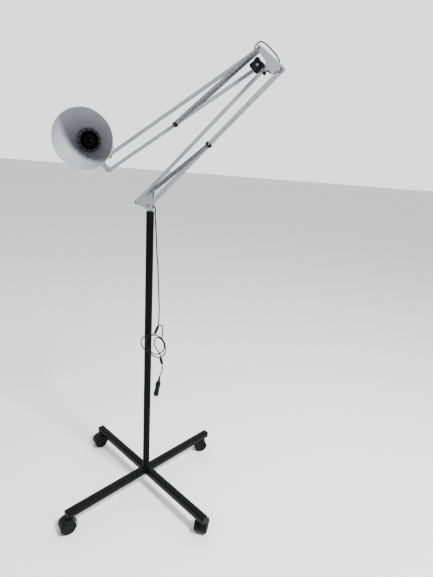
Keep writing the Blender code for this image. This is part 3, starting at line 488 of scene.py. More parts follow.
DROP = [
    (0.0127, 0.0000, 1.0985), (0.0154, -0.0004, 1.0981), (0.0180, -0.0015, 1.0950),
    (0.0190, -0.0030, 1.0890), (0.0200, -0.0060, 1.0800), (0.0220, -0.0100, 1.0660),
    (0.0265, -0.0150, 1.0400), (0.0310, -0.0190, 0.9970), (0.0350, -0.0200, 0.9470),
    (0.0400, -0.0200, 0.8900), (0.0430, -0.0200, 0.8280), (0.0470, -0.0205, 0.7640),
    (0.0468, -0.0210, 0.7280), (0.0465, -0.0220, 0.7030),
]
COIL = [
    (0.0425, -0.0245, 0.6905), (0.0370, -0.0260, 0.6755), (0.0250, -0.0290, 0.6625),
    (0.0080, -0.0330, 0.6600), (-0.0070, -0.0360, 0.6500), (-0.0105, -0.0370, 0.6340),
    (-0.0060, -0.0360, 0.6170), (0.0040, -0.0345, 0.6075), (0.0190, -0.0315, 0.5970),
    (0.0330, -0.0290, 0.5860), (0.0480, -0.0265, 0.5815), (0.0630, -0.0240, 0.5860),
    (0.0715, -0.0215, 0.5980), (0.0740, -0.0200, 0.6160), (0.0705, -0.0205, 0.6370),
    (0.0620, -0.0225, 0.6520), (0.0480, -0.0250, 0.6620), (0.0300, -0.0265, 0.6640),
    (0.0130, -0.0300, 0.6560), (0.0060, -0.0320, 0.6390), (0.0110, -0.0310, 0.6160),
    (0.0230, -0.0290, 0.6010), (0.0370, -0.0270, 0.5930), (0.0530, -0.0245, 0.5960),
    (0.0650, -0.0185, 0.6080), (0.0680, -0.0165, 0.6270), (0.0600, -0.0175, 0.6450),
    (0.0470, -0.0195, 0.6540), (0.0350, -0.0215, 0.6480), (0.0330, -0.0225, 0.6300),
    (0.0400, -0.0220, 0.6120), (0.0500, -0.0205, 0.6000), (0.0565, -0.0205, 0.5870),
    (0.0590, -0.0215, 0.5760),
]
TAIL = [
    (0.0610, -0.0213, 0.5660), (0.0624, -0.0209, 0.5559), (0.0642, -0.0200, 0.5450),
    (0.0642, -0.0196, 0.5350), (0.0605, -0.0198, 0.5180), (0.0561, -0.0200, 0.5090),
    (0.0550, -0.0200, 0.5023),
]
PLUG_TOP = Vector(TAIL[-1])
PLUG_DIR = (PLUG_TOP - Vector(TAIL[-2])).normalized()
route = smoothed(DROP + COIL + TAIL, 6) + [PLUG_TOP + PLUG_DIR * 0.017, PLUG_TOP + PLUG_DIR * 0.034]
curve = bpy.data.curves.new("mains_cord", "CURVE")
curve.dimensions = "3D"
curve.bevel_depth = CORD_R
curve.bevel_resolution = 3
curve.use_fill_caps = True
spline = curve.splines.new("POLY")
spline.points.add(len(route) - 1)
for point, place in zip(spline.points, route):
    point.co = (*place, 1)
curve.materials.append(CORD_BLACK)
mains_cord = bpy.data.objects.new("mains_cord", curve)
bpy.context.scene.collection.objects.link(mains_cord)
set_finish(mains_cord, "cord_black")
stand_for(mains_cord, "arm_base", "cord_drop", "cord_coil", "cord_tail")


def wrap(name, start, end, bundle, turns, node):
    """Cord wound tightly round a bundle of strands."""
    start, end = Vector(start), Vector(end)
    place = axes(start, end - start)
    length = (end - start).length
    points = []
    steps = turns * 14
    for i in range(steps + 1):
        a = math.tau * turns * i / steps
        points.append(place @ Vector((bundle * math.cos(a), bundle * math.sin(a), length * i / steps)))
    return stand_for(sweep(name, points, 0.0017, CORD_BLACK, "cord_black", 8), "arm_base", node)


tie_top = wrap(
    "upper_wrap", (0.0455, -0.0228, 0.6990), (0.0356, -0.0260, 0.6700), 0.0034, 8, "cord_tie_top"
)
tie_low = wrap(
    "lower_wrap", (0.0577, -0.0218, 0.5780), (0.0622, -0.0210, 0.5575), 0.0038, 6, "cord_tie_bottom"
)
# the strand that stands out beside the upper wrap
SIDE_LOOP = [
    (0.0450, -0.0228, 0.7005), (0.0490, -0.0235, 0.7035), (0.0550, -0.0240, 0.7040),
    (0.0605, -0.0240, 0.7020), (0.0628, -0.0235, 0.6940), (0.0632, -0.0230, 0.6860),
    (0.0622, -0.0235, 0.6720), (0.0610, -0.0235, 0.6600), (0.0590, -0.0225, 0.6490),
]

plug_place = axes(PLUG_TOP, PLUG_DIR, (0, 1, 0))
relief = [(0, -0.0005), (0.0026, -0.0005)]
for i in range(7):
    z = 0.0015 + 0.0026 * i
    r = 0.0027 + 0.0002 * i
    relief += [(r, z), (r + 0.0006, z + 0.0004), (r + 0.0006, z + 0.0013), (r, z + 0.0017)]
grip = [
    (0.0044, 0.0200), (0.0066, 0.0208), (0.0084, 0.0232), (0.0094, 0.0270), (0.0097, 0.0330),
    (0.0086, 0.0400), (0.0083, 0.0500), (0.0086, 0.0600), (0.0095, 0.0680), (0.0093, 0.0762),
    (0.0080, 0.0780), (0, 0.0780),
]
plug_parts = [lathe("plug_body", relief + grip, 36, plug_place, BLACK_PLASTIC, "black_plastic")]
BLADE = (0.0063, 0.0015, 0.0150)
for side in (-1, 1):
    spot = plug_place @ Matrix.Translation((0, side * 0.0050, 0.0850))
    plug_parts.append(block("plug_blade_" + letter(side), BLADE, spot, NICKEL, "steel", 0.0003))
plug = stand_for(joined("mains_plug", plug_parts), "arm_base", "plug")
side_loop = sweep("coil_side_loop", smoothed(SIDE_LOOP, 5), CORD_R * 0.97, CORD_BLACK, "cord_black", 10)
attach(side_loop, "arm_base")
grommet = lathe(
    "cord_grommet_look",
    [
        (0, 0.0066), (0.0031, 0.0066), (0.0031, 0.0112), (0.0026, 0.0118), (0.0026, 0.0122), (0.0019, 0.0124),
        (0, 0.0124),
    ],
    24, axes((0, 0, DROP[0][2]), (1, 0, 0)), BLACK_PLASTIC, "black_plastic",
)
stand_for(grommet, "arm_base", "cord_grommet")

# ---------------------------------------------------------------- leads at the elbow and the head

below = Vector((LOWER_DIR.z, 0, -LOWER_DIR.x))
clip_at = ELBOW_LINK - LOWER_DIR * 0.013 + below * 0.0088
above = Vector((UPPER_DIR.z, 0, -UPPER_DIR.x))
top_entry = ELBOW_TOP + UPPER_DIR * 0.0110 + above * 0.0051
AROUND_ELBOW = [
    (0.0068, 0.0010, -0.0094), (0.0123, 0.0040, -0.0124), (0.0175, 0.0085, -0.0130),
    (0.0228, 0.0114, -0.0115), (0.0275, 0.0120, -0.0065), (0.0318, 0.0121, 0.0015),
    (0.0345, 0.0119, 0.0085), (0.0348, 0.0114, 0.0146), (0.0326, 0.0100, 0.0210),
    (0.0237, 0.0070, 0.0325), (0.0061, 0.0030, 0.0480), (-0.0060, 0.0010, 0.0568),
    (-0.0165, 0.0000, 0.0620), (-0.0250, 0.0000, 0.0606), (-0.0312, 0.0000, 0.0560),
]
elbow_route = [clip_at + LOWER_DIR * 0.0040, clip_at + LOWER_DIR * 0.0078]
elbow_route += [ELBOW_LINK + Vector(p) for p in AROUND_ELBOW]
elbow_route += [top_entry + above * 0.0040, top_entry, top_entry - above * 0.0030]
BEHIND_SHADE = [
    (-0.0210, -0.0430, -0.0095), (-0.0320, -0.0420, -0.0210), (-0.0380, -0.0340, -0.0350),
    (-0.0395, -0.0200, -0.0510), (-0.0395, -0.0070, -0.0640), (-0.0395, 0.0020, -0.0690),
    (-0.0395, 0.0080, -0.0670), (-0.0395, 0.0100, -0.0600), (-0.0395, 0.0100, CAP_BACK - 0.0002),
]
bar_end = HEAD_HIGH + UPPER_DIR * 0.0058
head_route = [bar_end, bar_end + UPPER_DIR * 0.0100 + Vector((0, 0, -0.0012))]
head_route += [head_point(*p) for p in BEHIND_SHADE]


def lead(name, line, node):
    """One part of a lead across two joints, running between two bodies that one joint joins."""
    obj = sweep(name, line, LEAD_R, CORD_BLACK, "cord_black", 12)
    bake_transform(obj)
    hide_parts(node)


def leads(names, route, split, node):
    """A lead in two parts, cut at the route's point number split."""
    line = smoothed(route, 7)
    cut = split * 7
    lead(names[0], line[:cut + 1], node)
    lead(names[1], line[cut:], node)


elbow_names = ("elbow_lead_low", "elbow_lead_high")
leads(elbow_names, elbow_route, 9, "elbow_cord_loop")
head_names = ("head_lead_low", "head_lead_high")
leads(head_names, head_route, 2, "head_cord")

# ---------------------------------------------------------------- stand

# where the long leg points
BASE_TURN = math.radians(60)
for node in ("long_leg_tube", "front_leg_tube", "back_leg_tube"):
    polish(node, BLACK_PAINT, "stand", "black_paint")
for place in ("front_left", "front_right", "back_left", "back_right"):
    polish("leg_cap_" + place, BLACK_PLASTIC, "stand", "black_plastic", 0.0003)
polish("pole_bolt", STEEL, "stand", "steel")

pole = lathe(
    "pole",
    [
        (POLE_R - 0.0004, POLE_TOP), (POLE_R, POLE_TOP - 0.0004), (POLE_R, LEG_TOP + 0.0045),
        (POLE_R + 0.0005, LEG_TOP + 0.0032), (POLE_R + 0.0016, LEG_TOP + 0.0020),
        (POLE_R + 0.0023, LEG_TOP + 0.0010), (POLE_R + 0.0025, LEG_TOP + 0.0003),
        (POLE_R - 0.0016, LEG_TOP + 0.0003), (POLE_R - 0.0016, POLE_TOP),
    ],
    96, Matrix.Identity(4), BLACK_PAINT, "black_paint",
)
stand_for(pole, "stand", "pole_tube")
bushing = lathe(
    "pole_bushing",
    [
        (POLE_R - 0.0008, POLE_TOP + 0.0028), (POLE_R, POLE_TOP + 0.0020), (POLE_R, POLE_TOP + 0.0003),
        (0.0108, POLE_TOP + 0.0003), (0.0108, POLE_TOP - 0.035), (0.0053, POLE_TOP - 0.035),
        (0.0053, POLE_TOP + 0.0022), (0.0059, POLE_TOP + 0.0028),
    ],
    64, Matrix.Identity(4), BLACK_PLASTIC, "black_plastic",
)
stand_for(bushing, "stand", "pole_top_bushing")


def bead(name, start, end, radius):
    """A painted weld bead with the small swellings of its passes."""
    start, end = Vector(start), Vector(end)
    count = max(8, int((end - start).length / 0.0009))
    points, radii = [], []
    for i in range(count + 1):
        t = i / count
        points.append(start.lerp(end, t) + Vector((0, 0, 0.0001 * math.sin(i * 1.7))))
        radii.append(radius * (0.82 + 0.18 * math.sin(i * 1.05) ** 2) * min(1, 0.35 + 6 * min(t, 1 - t)))
    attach(sweep(name, points, radii, BLACK_PAINT, "black_paint", 8), "stand")


across = Vector((math.cos(BASE_TURN - math.pi / 2), math.sin(BASE_TURN - math.pi / 2), 0))
along = Vector((math.cos(BASE_TURN), math.sin(BASE_TURN), 0))
weld_low, weld_high = Vector((0, 0, LEG_BOTTOM + 0.002)), Vector((0, 0, LEG_TOP - 0.002))
weld_top = Vector((0, 0, LEG_TOP - 0.0006))
for side in (-1, 1):
    corner = across * side * 0.0131
    for end in (-1, 1):
        edge = corner + along * end * 0.0128
        bead("leg_weld_" + letter(side) + letter(end), edge + weld_low, edge + weld_high, 0.0016)
    half = along * 0.0112
    bead("leg_weld_top_" + letter(side), corner - half + weld_top, corner + half + weld_top, 0.0012)

# ---------------------------------------------------------------- casters

# where each leg points and where its wheel trails, in degrees
CASTERS = {
    "front_left": (240, 230),
    "front_right": (-30, 90),
    "back_left": (150, 230),
    "back_right": (60, 210),
}
CASTER_REACH = 0.317
CASTER_TRAIL = 0.014
WHEEL_R = 0.025
HOOD_OUTLINE = [
    (-0.0232, 0.0185), (-0.0232, 0.0235), (-0.0226, 0.0255), (-0.0212, 0.0267), (-0.0190, 0.0272),
    (0.0190, 0.0272), (0.0212, 0.0267), (0.0226, 0.0255), (0.0232, 0.0235), (0.0232, 0.0185),
    (0.0222, 0.0185), (0.0221, 0.0240), (0.0208, 0.0257), (0.0190, 0.0260), (0.0050, 0.0260),
    (0.0045, 0.0245), (0.0045, 0.0040), (-0.0045, 0.0040), (-0.0045, 0.0245), (-0.0050, 0.0260),
    (-0.0190, 0.0260), (-0.0208, 0.0257), (-0.0221, 0.0240), (-0.0222, 0.0185),
]
STEM_PROFILE = [
    (0, 0.0757), (0.0032, 0.0757), (0.0040, 0.0748), (0.0040, 0.0577), (0.0086, 0.0577),
    (0.0090, 0.0572), (0.0090, 0.0554), (0.0084, 0.0549), (0.0070, 0.0546), (0.0066, 0.0530),
    (0.0074, 0.0505), (0.0090, 0.0485), (0, 0.0470),
]
WHEEL_PROFILE = [
    (0.0030, 0.0054), (0.0228, 0.0054), (0.0241, 0.0060), (0.0248, 0.0072), (0.0250, 0.0090),
    (0.0250, 0.0180), (0.0248, 0.0198), (0.0241, 0.0211), (0.0228, 0.0217), (0.0196, 0.0218),
    (0.0190, 0.0212), (0.0182, 0.0208), (0.0120, 0.0205), (0.0112, 0.0211), (0.0100, 0.0213),
    (0.0060, 0.0213), (0.0052, 0.0207), (0, 0.0205), (0, 0.0054),
]
AXLE_PROFILE = [(0, 0.0060), (0.0030, 0.0060), (0.0030, -0.0060), (0, -0.0060)]


def arc_sweep(name, outline, first, last, steps, place, look, slot):
    """A closed outline of (width, radius) swept round the place's X axis between two angles."""
    verts, faces = [], []
    count = len(outline)
    for i in range(steps + 1):
        a = first + (last - first) * i / steps
        for w, r in outline:
            verts.append((w, r * math.cos(a), r * math.sin(a)))
    for i in range(steps):
        for k in range(count):
            m = (k + 1) % count
            faces.append([i * count + k, i * count + m, (i + 1) * count + m, (i + 1) * count + k])
    faces.append(list(range(count))[::-1])
    faces.append([steps * count + k for k in range(count)])
    return shaped(name, verts, faces, place, look, slot)


def caster(place, leg, trail):
    """The hood with its stem, and the twin wheel, at the end of the leg that points at angle leg."""
    swivel = Vector((CASTER_REACH * math.cos(leg), CASTER_REACH * math.sin(leg), 0))
    ahead = Vector((math.cos(trail), math.sin(trail), 0))
    axle = swivel + CASTER_TRAIL * ahead + Vector((0, 0, WHEEL_R))
    # X along the axle, Y ahead, Z up
    seat = placed(axle, ahead.cross(Vector((0, 0, 1))), ahead, (0, 0, 1))
    arc = math.radians(-13), math.radians(193)
    shell = arc_sweep("hood_shell_" + place, HOOD_OUTLINE, *arc, 40, seat, BLACK_PLASTIC, "black_plastic")
    foot = Matrix.Translation(swivel)
    stem = lathe("stem_" + place, STEM_PROFILE, 40, foot, BLACK_PLASTIC, "black_plastic")
    stand_for(joined("hood_look_" + place, [shell, stem]), "caster_" + place, "caster_hood_" + place)

    turn = axes(axle, Vector((-ahead.y, ahead.x, 0)))
    parts = []
    for side in (-1, 1):
        flip = turn if side > 0 else turn @ Matrix.Rotation(math.pi, 4, "X")
        name = "wheel_%s_%s" % (place, letter(side))
        parts.append(lathe(name, WHEEL_PROFILE, 72, flip, WHEEL_BLACK, "wheel_black"))
    parts.append(lathe("axle_" + place, AXLE_PROFILE, 24, turn, STEEL, "wheel_black"))
    stand_for(joined("wheels_look_" + place, parts), "wheels_" + place, "caster_wheels_" + place)


for place, (leg, trail) in CASTERS.items():
    caster(place, math.radians(leg), math.radians(trail))
polish("brake_lever", BLACK_PLASTIC, "brake", "black_plastic", 0.0004)

# ---------------------------------------------------------------- fasteners


def pivot_bolt(node, at, body, room=0.0):
    """Pan head on the near side, shank, washer, and lock nut on the far side.
    room is left for a spring's eye at each end, and then there is no washer."""
    high = PLATE_OUT + 0.0003 + room
    low = -high
    place = axes(at, (0, 1, 0))
    shank = [
        (0, high + 0.0056), (0.0019, high + 0.0056), (0.0024, high + 0.0052), (0.0024, low), (0.0045, low),
        (0.0045, low - 0.0005), (0.0044, low - 0.0011), (0.0038, low - 0.0020), (0.0028, low - 0.0026),
        (0.0015, low - 0.0027), (0.0011, low - 0.0017), (0, low - 0.0017),
    ]
    washer = [(0.0024, high + 0.0007), (0.0052, high + 0.0007), (0.0053, high + 0.0001), (0.0024, high)]
    collar = [
        (0.0023, high + 0.0046), (0.0031, high + 0.0046), (0.0036, high + 0.0040), (0.0036, high + 0.0035),
        (0.0023, high + 0.0035),
    ]
    nut = [ring(0.0043, 6, 0.3), ring(0.0023, 20)]
    parts = [lathe(node + "_shank", shank, 32, place, STEEL, "steel")]
    if not room:
        parts.append(lathe(node + "_washer", washer, 32, place, STEEL, "steel"))
    parts.append(prism(node + "_nut", nut, high + 0.0008, high + 0.0036, place, STEEL, "steel", 0.0003))
    parts.append(lathe(node + "_collar", collar, 32, place, STEEL, "steel"))
    stand_for(joined(node + "_look", parts), body, node)


pivot_bolt("pivot_bolt_a", PIVOT_A, "arm_base")
pivot_bolt("pivot_bolt_b", PIVOT_B, "arm_base")
pivot_bolt("elbow_bolt_link", ELBOW_LINK, "elbow")
pivot_bolt("elbow_bolt_main", ELBOW_MAIN, "elbow")
pivot_bolt("elbow_bolt_top", ELBOW_TOP, "elbow", 0.0084)
pivot_bolt("head_bolt_low", HEAD_LOW, "head_link")
pivot_bolt("head_bolt_high", HEAD_HIGH, "head_link")

# ---------------------------------------------------------------- bars, plates and clips

polish("arm_bracket", GREY_PAINT, "arm_base", "grey_paint", 0.00025)
for body in ("lower_link", "lower_main", "upper_main", "upper_top"):
    polish(body + "_bar", GREY_PAINT, body, "grey_paint")
for node in ("elbow_plate_near", "elbow_plate_far"):
    polish(node, GREY_PAINT, "elbow", "grey_paint", 0.00025)
polish("head_link", GREY_PAINT, "head_link", "grey_paint", 0.00025)
polish("lower_spring_clip", BLACK_PLASTIC, "lower_main", "black_plastic", 0.0004)
polish("upper_spring_collar", BLACK_PLASTIC, "upper_main", "black_plastic", 0.0004)
polish("elbow_cord_clip", BLACK_PLASTIC, "lower_link", "black_plastic", 0.0004)

# ---------------------------------------------------------------- springs


def eye(radius, first, height):
    """Most of a ring in the plane across X, round the place's Z at height."""
    angles = [math.radians(first) + math.radians(320) * i / 14 for i in range(15)]
    return [Vector((0, radius * math.sin(a), height + radius * math.cos(a))) for a in angles]


def coil_spring(node, start, end, side, radius, wire, pitch, eyes):
    """A close-wound tension spring with an eye at each end."""
    start = Vector((start.x, side, start.z))
    end = Vector((end.x, side, end.z))
    place = axes(start, end - start, (0, 1, 0))
    length = (end - start).length
    centre = radius - wire
    first, last = 0.0075, length - 0.0075
    steps = int((last - first) / pitch) * 12
    points = eye(eyes[0], 20, 0)
    points.append(Vector((centre * 0.5, 0, first - 0.0012)))
    for i in range(steps + 1):
        a = math.tau * i / 12
        z = first + (last - first) * i / steps
        points.append(Vector((centre * math.cos(a), centre * math.sin(a), z)))
    points.append(Vector((centre * 0.5, 0, last + 0.0012)))
    points += eye(eyes[1], 200, length)
    obj = sweep(node + "_look", [place @ p for p in points], wire, SPRING_STEEL, "spring_steel", 6)
    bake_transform(obj)
    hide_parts(node)


for node, side in (("lower_spring_near", -0.0133), ("lower_spring_far", 0.0133)):
    coil_spring(
        node, LOWER_HOOK, LOWER_CLIP, side,
        radius=0.0040, wire=0.00072, pitch=0.00146, eyes=(0.0030, 0.0030),
    )
for node, side in (("upper_spring_near", -0.0145), ("upper_spring_far", 0.0145)):
    coil_spring(
        node, ELBOW_TOP, UPPER_COLLAR, side,
        radius=0.0044, wire=0.00075, pitch=0.00152, eyes=(0.0032, 0.0030),
    )
for side in (-1, 1):
    # the pin that goes through the bracket's lobe and carries the spring's eye
    points = [LOWER_HOOK + Vector((0, side * out, 0)) for out in (0.0068, 0.0110, 0.0140, 0.0155)]
    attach(sweep("spring_hook_" + letter(side), smoothed(points, 4), 0.0014, STEEL, "steel", 12), "arm_base")

# ---------------------------------------------------------------- clamp knob

KNOB_FACE = 0.0290
LOBE_MEAN = 0.0178
LOBE_RISE = 0.0029
LOBE_TURN = math.radians(92)
knob_place = axes(ELBOW_KNOB, (0, -1, 0), (1, 0, 0))


def lobed(name, levels, place, look, slot):
    """A four-lobed solid: levels are (share of the outline, distance along the place's Z)."""
    steps = 96
    verts, faces = [], []
    for share, z in levels:
        for i in range(steps):
            a = math.tau * i / steps
            r = share * (LOBE_MEAN + LOBE_RISE * math.cos(4 * (a - LOBE_TURN)))
            verts.append((r * math.cos(a), r * math.sin(a), z))
    for k in range(len(levels) - 1):
        for i in range(steps):
            j = (i + 1) % steps
            faces.append([k * steps + i, k * steps + j, (k + 1) * steps + j, (k + 1) * steps + i])
    faces.append(list(range(steps))[::-1])
    faces.append([(len(levels) - 1) * steps + i for i in range(steps)])
    return shaped(name, verts, faces, place, look, slot, math.radians(50))


knob_grip = lobed(
    "knob_grip",
    [
        (0.80, KNOB_FACE - 0.0120), (0.91, KNOB_FACE - 0.0115), (0.97, KNOB_FACE - 0.0100),
        (1.0, KNOB_FACE - 0.0075), (1.0, KNOB_FACE - 0.0045), (0.975, KNOB_FACE - 0.0022),
        (0.93, KNOB_FACE - 0.0008), (0.86, KNOB_FACE - 0.0001), (0.62, KNOB_FACE),
        (0.56, KNOB_FACE - 0.0004), (0.50, KNOB_FACE - 0.0011),
    ],
    knob_place, BLACK_PLASTIC, "black_plastic",
)
hub = lathe(
    "knob_hub",
    [
        (0.0085, PLATE_OUT + 0.0014), (0.0088, KNOB_FACE - 0.0110), (0.0031, KNOB_FACE - 0.0110),
        (0.0031, PLATE_OUT + 0.0014),
    ],
    48, knob_place, BLACK_PLASTIC, "black_plastic",
)
insert = lathe(
    "knob_insert",
    [
        (0.0040, KNOB_FACE - 0.0009), (0.0042, KNOB_FACE - 0.0030), (0.0029, KNOB_FACE - 0.0030),
        (0.0029, KNOB_FACE - 0.0006), (0.0037, KNOB_FACE - 0.0006),
    ],
    40, knob_place, STEEL, "steel",
)
stand_for(joined("knob_look", [knob_grip, hub, insert]), "knob", "elbow_knob")
stud = lathe(
    "knob_bolt_look",
    [
        (0, KNOB_FACE + 0.0020), (0.0019, KNOB_FACE + 0.0020), (0.0024, KNOB_FACE + 0.0015),
        (0.0024, -PLATE_OUT - 0.0003), (0.0054, -PLATE_OUT - 0.0003), (0.0054, -PLATE_OUT - 0.0013),
        (0.0049, -PLATE_OUT - 0.0023), (0.0036, -PLATE_OUT - 0.0032), (0, -PLATE_OUT - 0.0035),
    ],
    40, knob_place, STEEL, "steel",
)
stand_for(stud, "elbow", "knob_bolt")

# ---------------------------------------------------------------- head

knuckle = lathe(
    "knuckle_look",
    [
        (0, TILT_Z + 0.0095), (0.0062, TILT_Z + 0.0095), (0.0078, TILT_Z + 0.0089),
        (0.0085, TILT_Z + 0.0078), (0.0085, TILT_Z - 0.0060), (0.0082, TILT_Z - 0.0075),
        (0.0074, TILT_Z - 0.0088), (0.0078, TILT_Z - 0.0105), (0.0084, WEB_TOP + 0.0008),
        (0.0084, WEB_TOP + 0.0003), (0.0030, WEB_TOP + 0.0003), (0.0030, WEB_TOP - 0.0019),
        (0.0048, WEB_TOP - 0.0019), (0.0048, WEB_TOP - 0.0031), (0, WEB_TOP - 0.0031),
    ],
    56, Matrix.Translation((HEAD_SWIVEL.x, 0, 0)), GREY_PAINT, "grey_paint",
)
stand_for(knuckle, "knuckle", "head_knuckle")

tilt_place = axes(head_point(0, 0, 0), TILT_AXIS)
screw = lathe(
    "tilt_screw",
    [
        (0, 0.0260), (0.0018, 0.0260), (0.0024, 0.0254), (0.0024, 0.0160), (0.0042, 0.0158),
        (0.0052, 0.0150), (0.0056, 0.0120), (0.0062, 0.0090), (0.0062, 0.0088), (0.0024, 0.0088),
        (0.0024, -0.0105), (0.0042, -0.0105), (0.0042, -0.0112), (0.0034, -0.0121), (0, -0.0123),
    ],
    40, tilt_place, BLACK_PLASTIC, "black_plastic",
)
WING = [
    (0.0030, 0.0098), (0.0052, 0.0104), (0.0088, 0.0128), (0.0112, 0.0152), (0.0116, 0.0170),
    (0.0104, 0.0182), (0.0086, 0.0180), (0.0062, 0.0160), (0.0034, 0.0150),
]
parts = [screw]
for side in (-1, 1):
    place = axes(head_point(0, 0, 0), TILT_AXIS, (0, 0, side)) @ Matrix.Rotation(math.pi / 2, 4, "X")
    name = "wing_" + letter(side)
    parts.append(prism(name, [WING], -0.0011, 0.0011, place, BLACK_PLASTIC, "black_plastic", 0.0007, 3))
stand_for(joined("tilt_screw_look", parts), "tilt_screw", "tilt_bolt")
polish("tilt_tab", GREY_PAINT, "head", "grey_paint", 0.0003)

shade_place = axes(SHADE_AXIS, MOUTH_DIR, (0, 0, 1))
NECK = 0.0383
THICK = 0.0012
MOUTH_R = 0.086
MOUTH_Z = 0.123
NECK_Z = 0.014
flare = []
for step in range(49):
    t = step / 48
    flare.append((MOUTH_R - (MOUTH_R - NECK - THICK) * t**1.45, MOUTH_Z + (NECK_Z - MOUTH_Z) * t))
roll_angles = [math.radians(150 - 30 * i) for i in range(8)]
roll = [(0.0850 + 0.0012 * math.cos(a), 0.1226 + 0.0012 * math.sin(a)) for a in roll_angles]
outer = roll + flare[1:]
outer += [(NECK + THICK, 0.002), (NECK + THICK, -0.0055), (NECK + 0.0007, -0.0072), (NECK - 0.0006, -0.0081)]
inner = [(NECK - 0.0016, -0.0071), (NECK - 0.0004, -0.0058), (NECK, -0.0045), (NECK, 0.002)]
inner += [(r - THICK, z) for r, z in flare[::-1]][:-1]
shade_body = lathe(
    "shade_body", outer + inner, 128, shade_place, [SHADE_OUTSIDE, SHADE_INSIDE], "grey_paint",
    (len(outer) - 1, len(outer) + len(inner)), math.radians(30),
)
plate = [ring(0.0379, 96), ring(0.0284, 96)]
for vent in ring(0.032, 12, math.tau / 24):
    plate.append(ring(0.0025, 20, 0.0, vent))
shade_ring = prism("shade_ring", plate, -0.0082, -0.0070, shade_place, SHADE_RING_PAINTED_SHADE, "grey_paint")
stand_for(joined("shade_look", [shade_body, shade_ring]), "head", "shade")

cap_profile = [
    (0.0284, CAP_FRONT), (0.0372, CAP_FRONT), (0.0373, CAP_FRONT - 0.0012), (0.0368, CAP_FRONT - 0.0016),
    (0.0308, CAP_FRONT - 0.0022),
]
for i in range(6):
    z = CAP_FRONT - 0.0060 - 0.0030 * i
    cap_profile += [(0.0300, z), (0.0292, z - 0.0005), (0.0292, z - 0.0013), (0.0300, z - 0.0018)]
cap_profile += [
    (0.0300, CAP_BACK + 0.0062), (0.0296, CAP_BACK + 0.0038), (0.0284, CAP_BACK + 0.0017),
    (0.0264, CAP_BACK + 0.0004), (0.0240, CAP_BACK), (0.0035, CAP_BACK), (0.0035, CAP_BACK + 0.0018),
    (0.0240, CAP_BACK + 0.0018), (0.0270, CAP_BACK + 0.0035), (0.0284, CAP_BACK + 0.0060),
]
socket_cap = lathe("socket_cap_look", cap_profile, 96, shade_place, BLACK_PLASTIC, "black_plastic")
stand_for(socket_cap, "head", "socket_cap")

HOLDER_BACK = CAP_BACK + 0.0021
HOLDER_FRONT = CAP_FRONT - 0.004
holder = lathe(
    "lampholder_look",
    [
        (0, HOLDER_BACK + 0.009), (0.0138, HOLDER_BACK + 0.009), (0.0138, HOLDER_FRONT - 0.0010),
        (0.0146, HOLDER_FRONT), (0.0160, HOLDER_FRONT), (0.0164, HOLDER_FRONT - 0.0008),
        (0.0180, HOLDER_FRONT - 0.0008), (0.0192, HOLDER_FRONT - 0.0014), (0.0195, HOLDER_FRONT - 0.0030),
        (0.0195, HOLDER_BACK + 0.004), (0.0165, HOLDER_BACK), (0, HOLDER_BACK),
    ],
    72, shade_place, BAKELITE, "black_plastic",
)
stand_for(holder, "head", "lampholder")


def threaded_sleeve():
    """The lampholder's brass sleeve, with the rounded thread rolled into it."""
    low, high, steps, rows = HOLDER_BACK + 0.0105, HOLDER_FRONT - 0.0022, 64, 56
    verts, faces = [], []
    for layer in (0.0, 0.0004):
        for k in range(rows + 1):
            z = low + (high - low) * k / rows
            fade = min(1.0, 4 * k / rows, 8 * (rows - k) / rows)
            for i in range(steps):
                a = math.tau * i / steps
                r = 0.01285 + layer - 0.00042 * fade * math.sin(math.tau * z / 0.0036 - a)
                verts.append((r * math.cos(a), r * math.sin(a), z))
    size = (rows + 1) * steps
    for layer in (0, 1):
        for k in range(rows):
            for i in range(steps):
                j = (i + 1) % steps
                a, b = layer * size + k * steps, layer * size + (k + 1) * steps
                faces.append([a + i, a + j, b + j, b + i])
    for k in (0, rows):
        for i in range(steps):
            j = (i + 1) % steps
            faces.append([k * steps + i, k * steps + j, size + k * steps + j, size + k * steps + i])
    return shaped("shell_thread", verts, faces, shade_place, BRASS_WITH_PAINTED_SHADE, "brass", ROUND)


SHELL_FLOOR = [
    (0, HOLDER_BACK + 0.0100), (0.0128, HOLDER_BACK + 0.0100), (0.0130, HOLDER_BACK + 0.0093),
    (0, HOLDER_BACK + 0.0093),
]
TONGUE = [
    (0.0100, 0, HOLDER_BACK + 0.0102), (0.0060, 0, HOLDER_BACK + 0.0108), (0.0030, 0, HOLDER_BACK + 0.0125),
    (0.0006, 0, HOLDER_BACK + 0.0140), (-0.0026, 0, HOLDER_BACK + 0.0134),
]
tongue_line = smoothed([shade_place @ Vector(p) for p in TONGUE], 5)
shell = [
    threaded_sleeve(),
    lathe("shell_floor", SHELL_FLOOR, 48, shade_place, BAKELITE, "brass"),
    sweep("shell_tongue", tongue_line, 0.0015, NICKEL, "brass", 10),
]
stand_for(joined("lampholder_shell_look", shell), "head", "lampholder_shell")

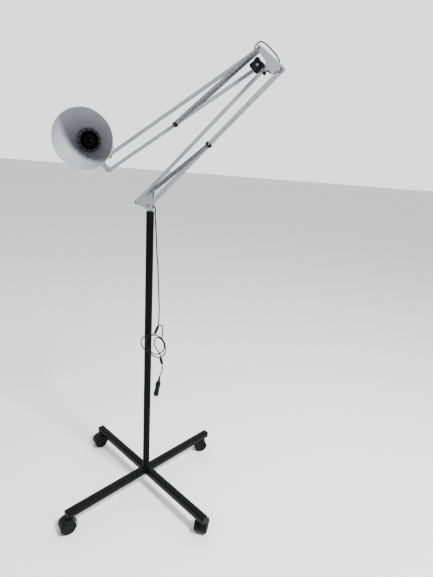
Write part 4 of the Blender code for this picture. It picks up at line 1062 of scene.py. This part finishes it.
switch_place = shade_place @ Matrix.Translation((0, 0, CAP_BACK)) @ Matrix.Rotation(math.pi, 4, "X")
fluted = []
for i in range(48):
    radius = 0.0070 - 0.00035 * (i % 2)
    fluted.append((radius * math.cos(math.tau * i / 48), radius * math.sin(math.tau * i / 48)))
SWITCH_TOP = [(0, 0.0105), (0.0052, 0.0105), (0.0062, 0.0101), (0.0066, 0.0095), (0, 0.0094)]
SWITCH_STEM = [(0, 0.0006), (0.0030, 0.0006), (0.0030, -0.0012), (0, -0.0012)]
switch = [
    prism("switch_grip", [fluted], 0.0004, 0.0096, switch_place, BLACK_PLASTIC, "black_plastic", 0.0002, 1),
    lathe("switch_top", SWITCH_TOP, 48, switch_place, BLACK_PLASTIC, "black_plastic"),
    lathe("switch_stem", SWITCH_STEM, 24, switch_place, STEEL, "black_plastic"),
]
stand_for(joined("switch_look", switch), "switch", "switch_knob")

# ---------------------------------------------------------------- studio

floor_mesh = bpy.data.meshes.new("floor")
floor_mesh.from_pydata([(-30, -30, 0), (30, -30, 0), (30, 30, 0), (-30, 30, 0)], [], [(0, 1, 2, 3)])
floor_look = Shader("floor_look")
floor_mesh.materials.append(floor_look.finish(Base_Color=(0.94, 0.94, 0.94, 1), Roughness=0.8))
floor = bpy.data.objects.new("floor", floor_mesh)
bpy.context.scene.collection.objects.link(floor)

world = bpy.data.worlds.new("studio")
bpy.context.scene.world = world
world.use_nodes = True
sky = world.node_tree.nodes
# dim on the camera's side and bright behind the lamp
heading = sky.new("ShaderNodeTexCoord")
split = sky.new("ShaderNodeSeparateXYZ")
ramp = sky.new("ShaderNodeMapRange")
for i, number in enumerate((-0.4, 0.6, 0.30, 1.9)):
    ramp.inputs[i + 1].default_value = number
world.node_tree.links.new(heading.outputs["Generated"], split.inputs[0])
world.node_tree.links.new(split.outputs["Y"], ramp.inputs[0])
world.node_tree.links.new(ramp.outputs[0], sky["Background"].inputs["Strength"])
sky["Background"].inputs["Color"].default_value = (1, 1, 1, 1)


def area_light(name, at, target, size, power):
    light = bpy.data.lights.new(name, "AREA")
    light.shape = "DISK"
    light.size = size
    light.energy = power
    obj = bpy.data.objects.new(name, light)
    bpy.context.scene.collection.objects.link(obj)
    obj.location = at
    obj.rotation_euler = (Vector(at) - Vector(target)).to_track_quat("Z", "Y").to_euler()


area_light("key_light", (1.9, -0.95, 3.2), (0, 0, 1.1), 0.6, 260)
area_light("fill_light", (-1.8, -2.0, 2.2), (0, 0, 0.9), 1.8, 10)
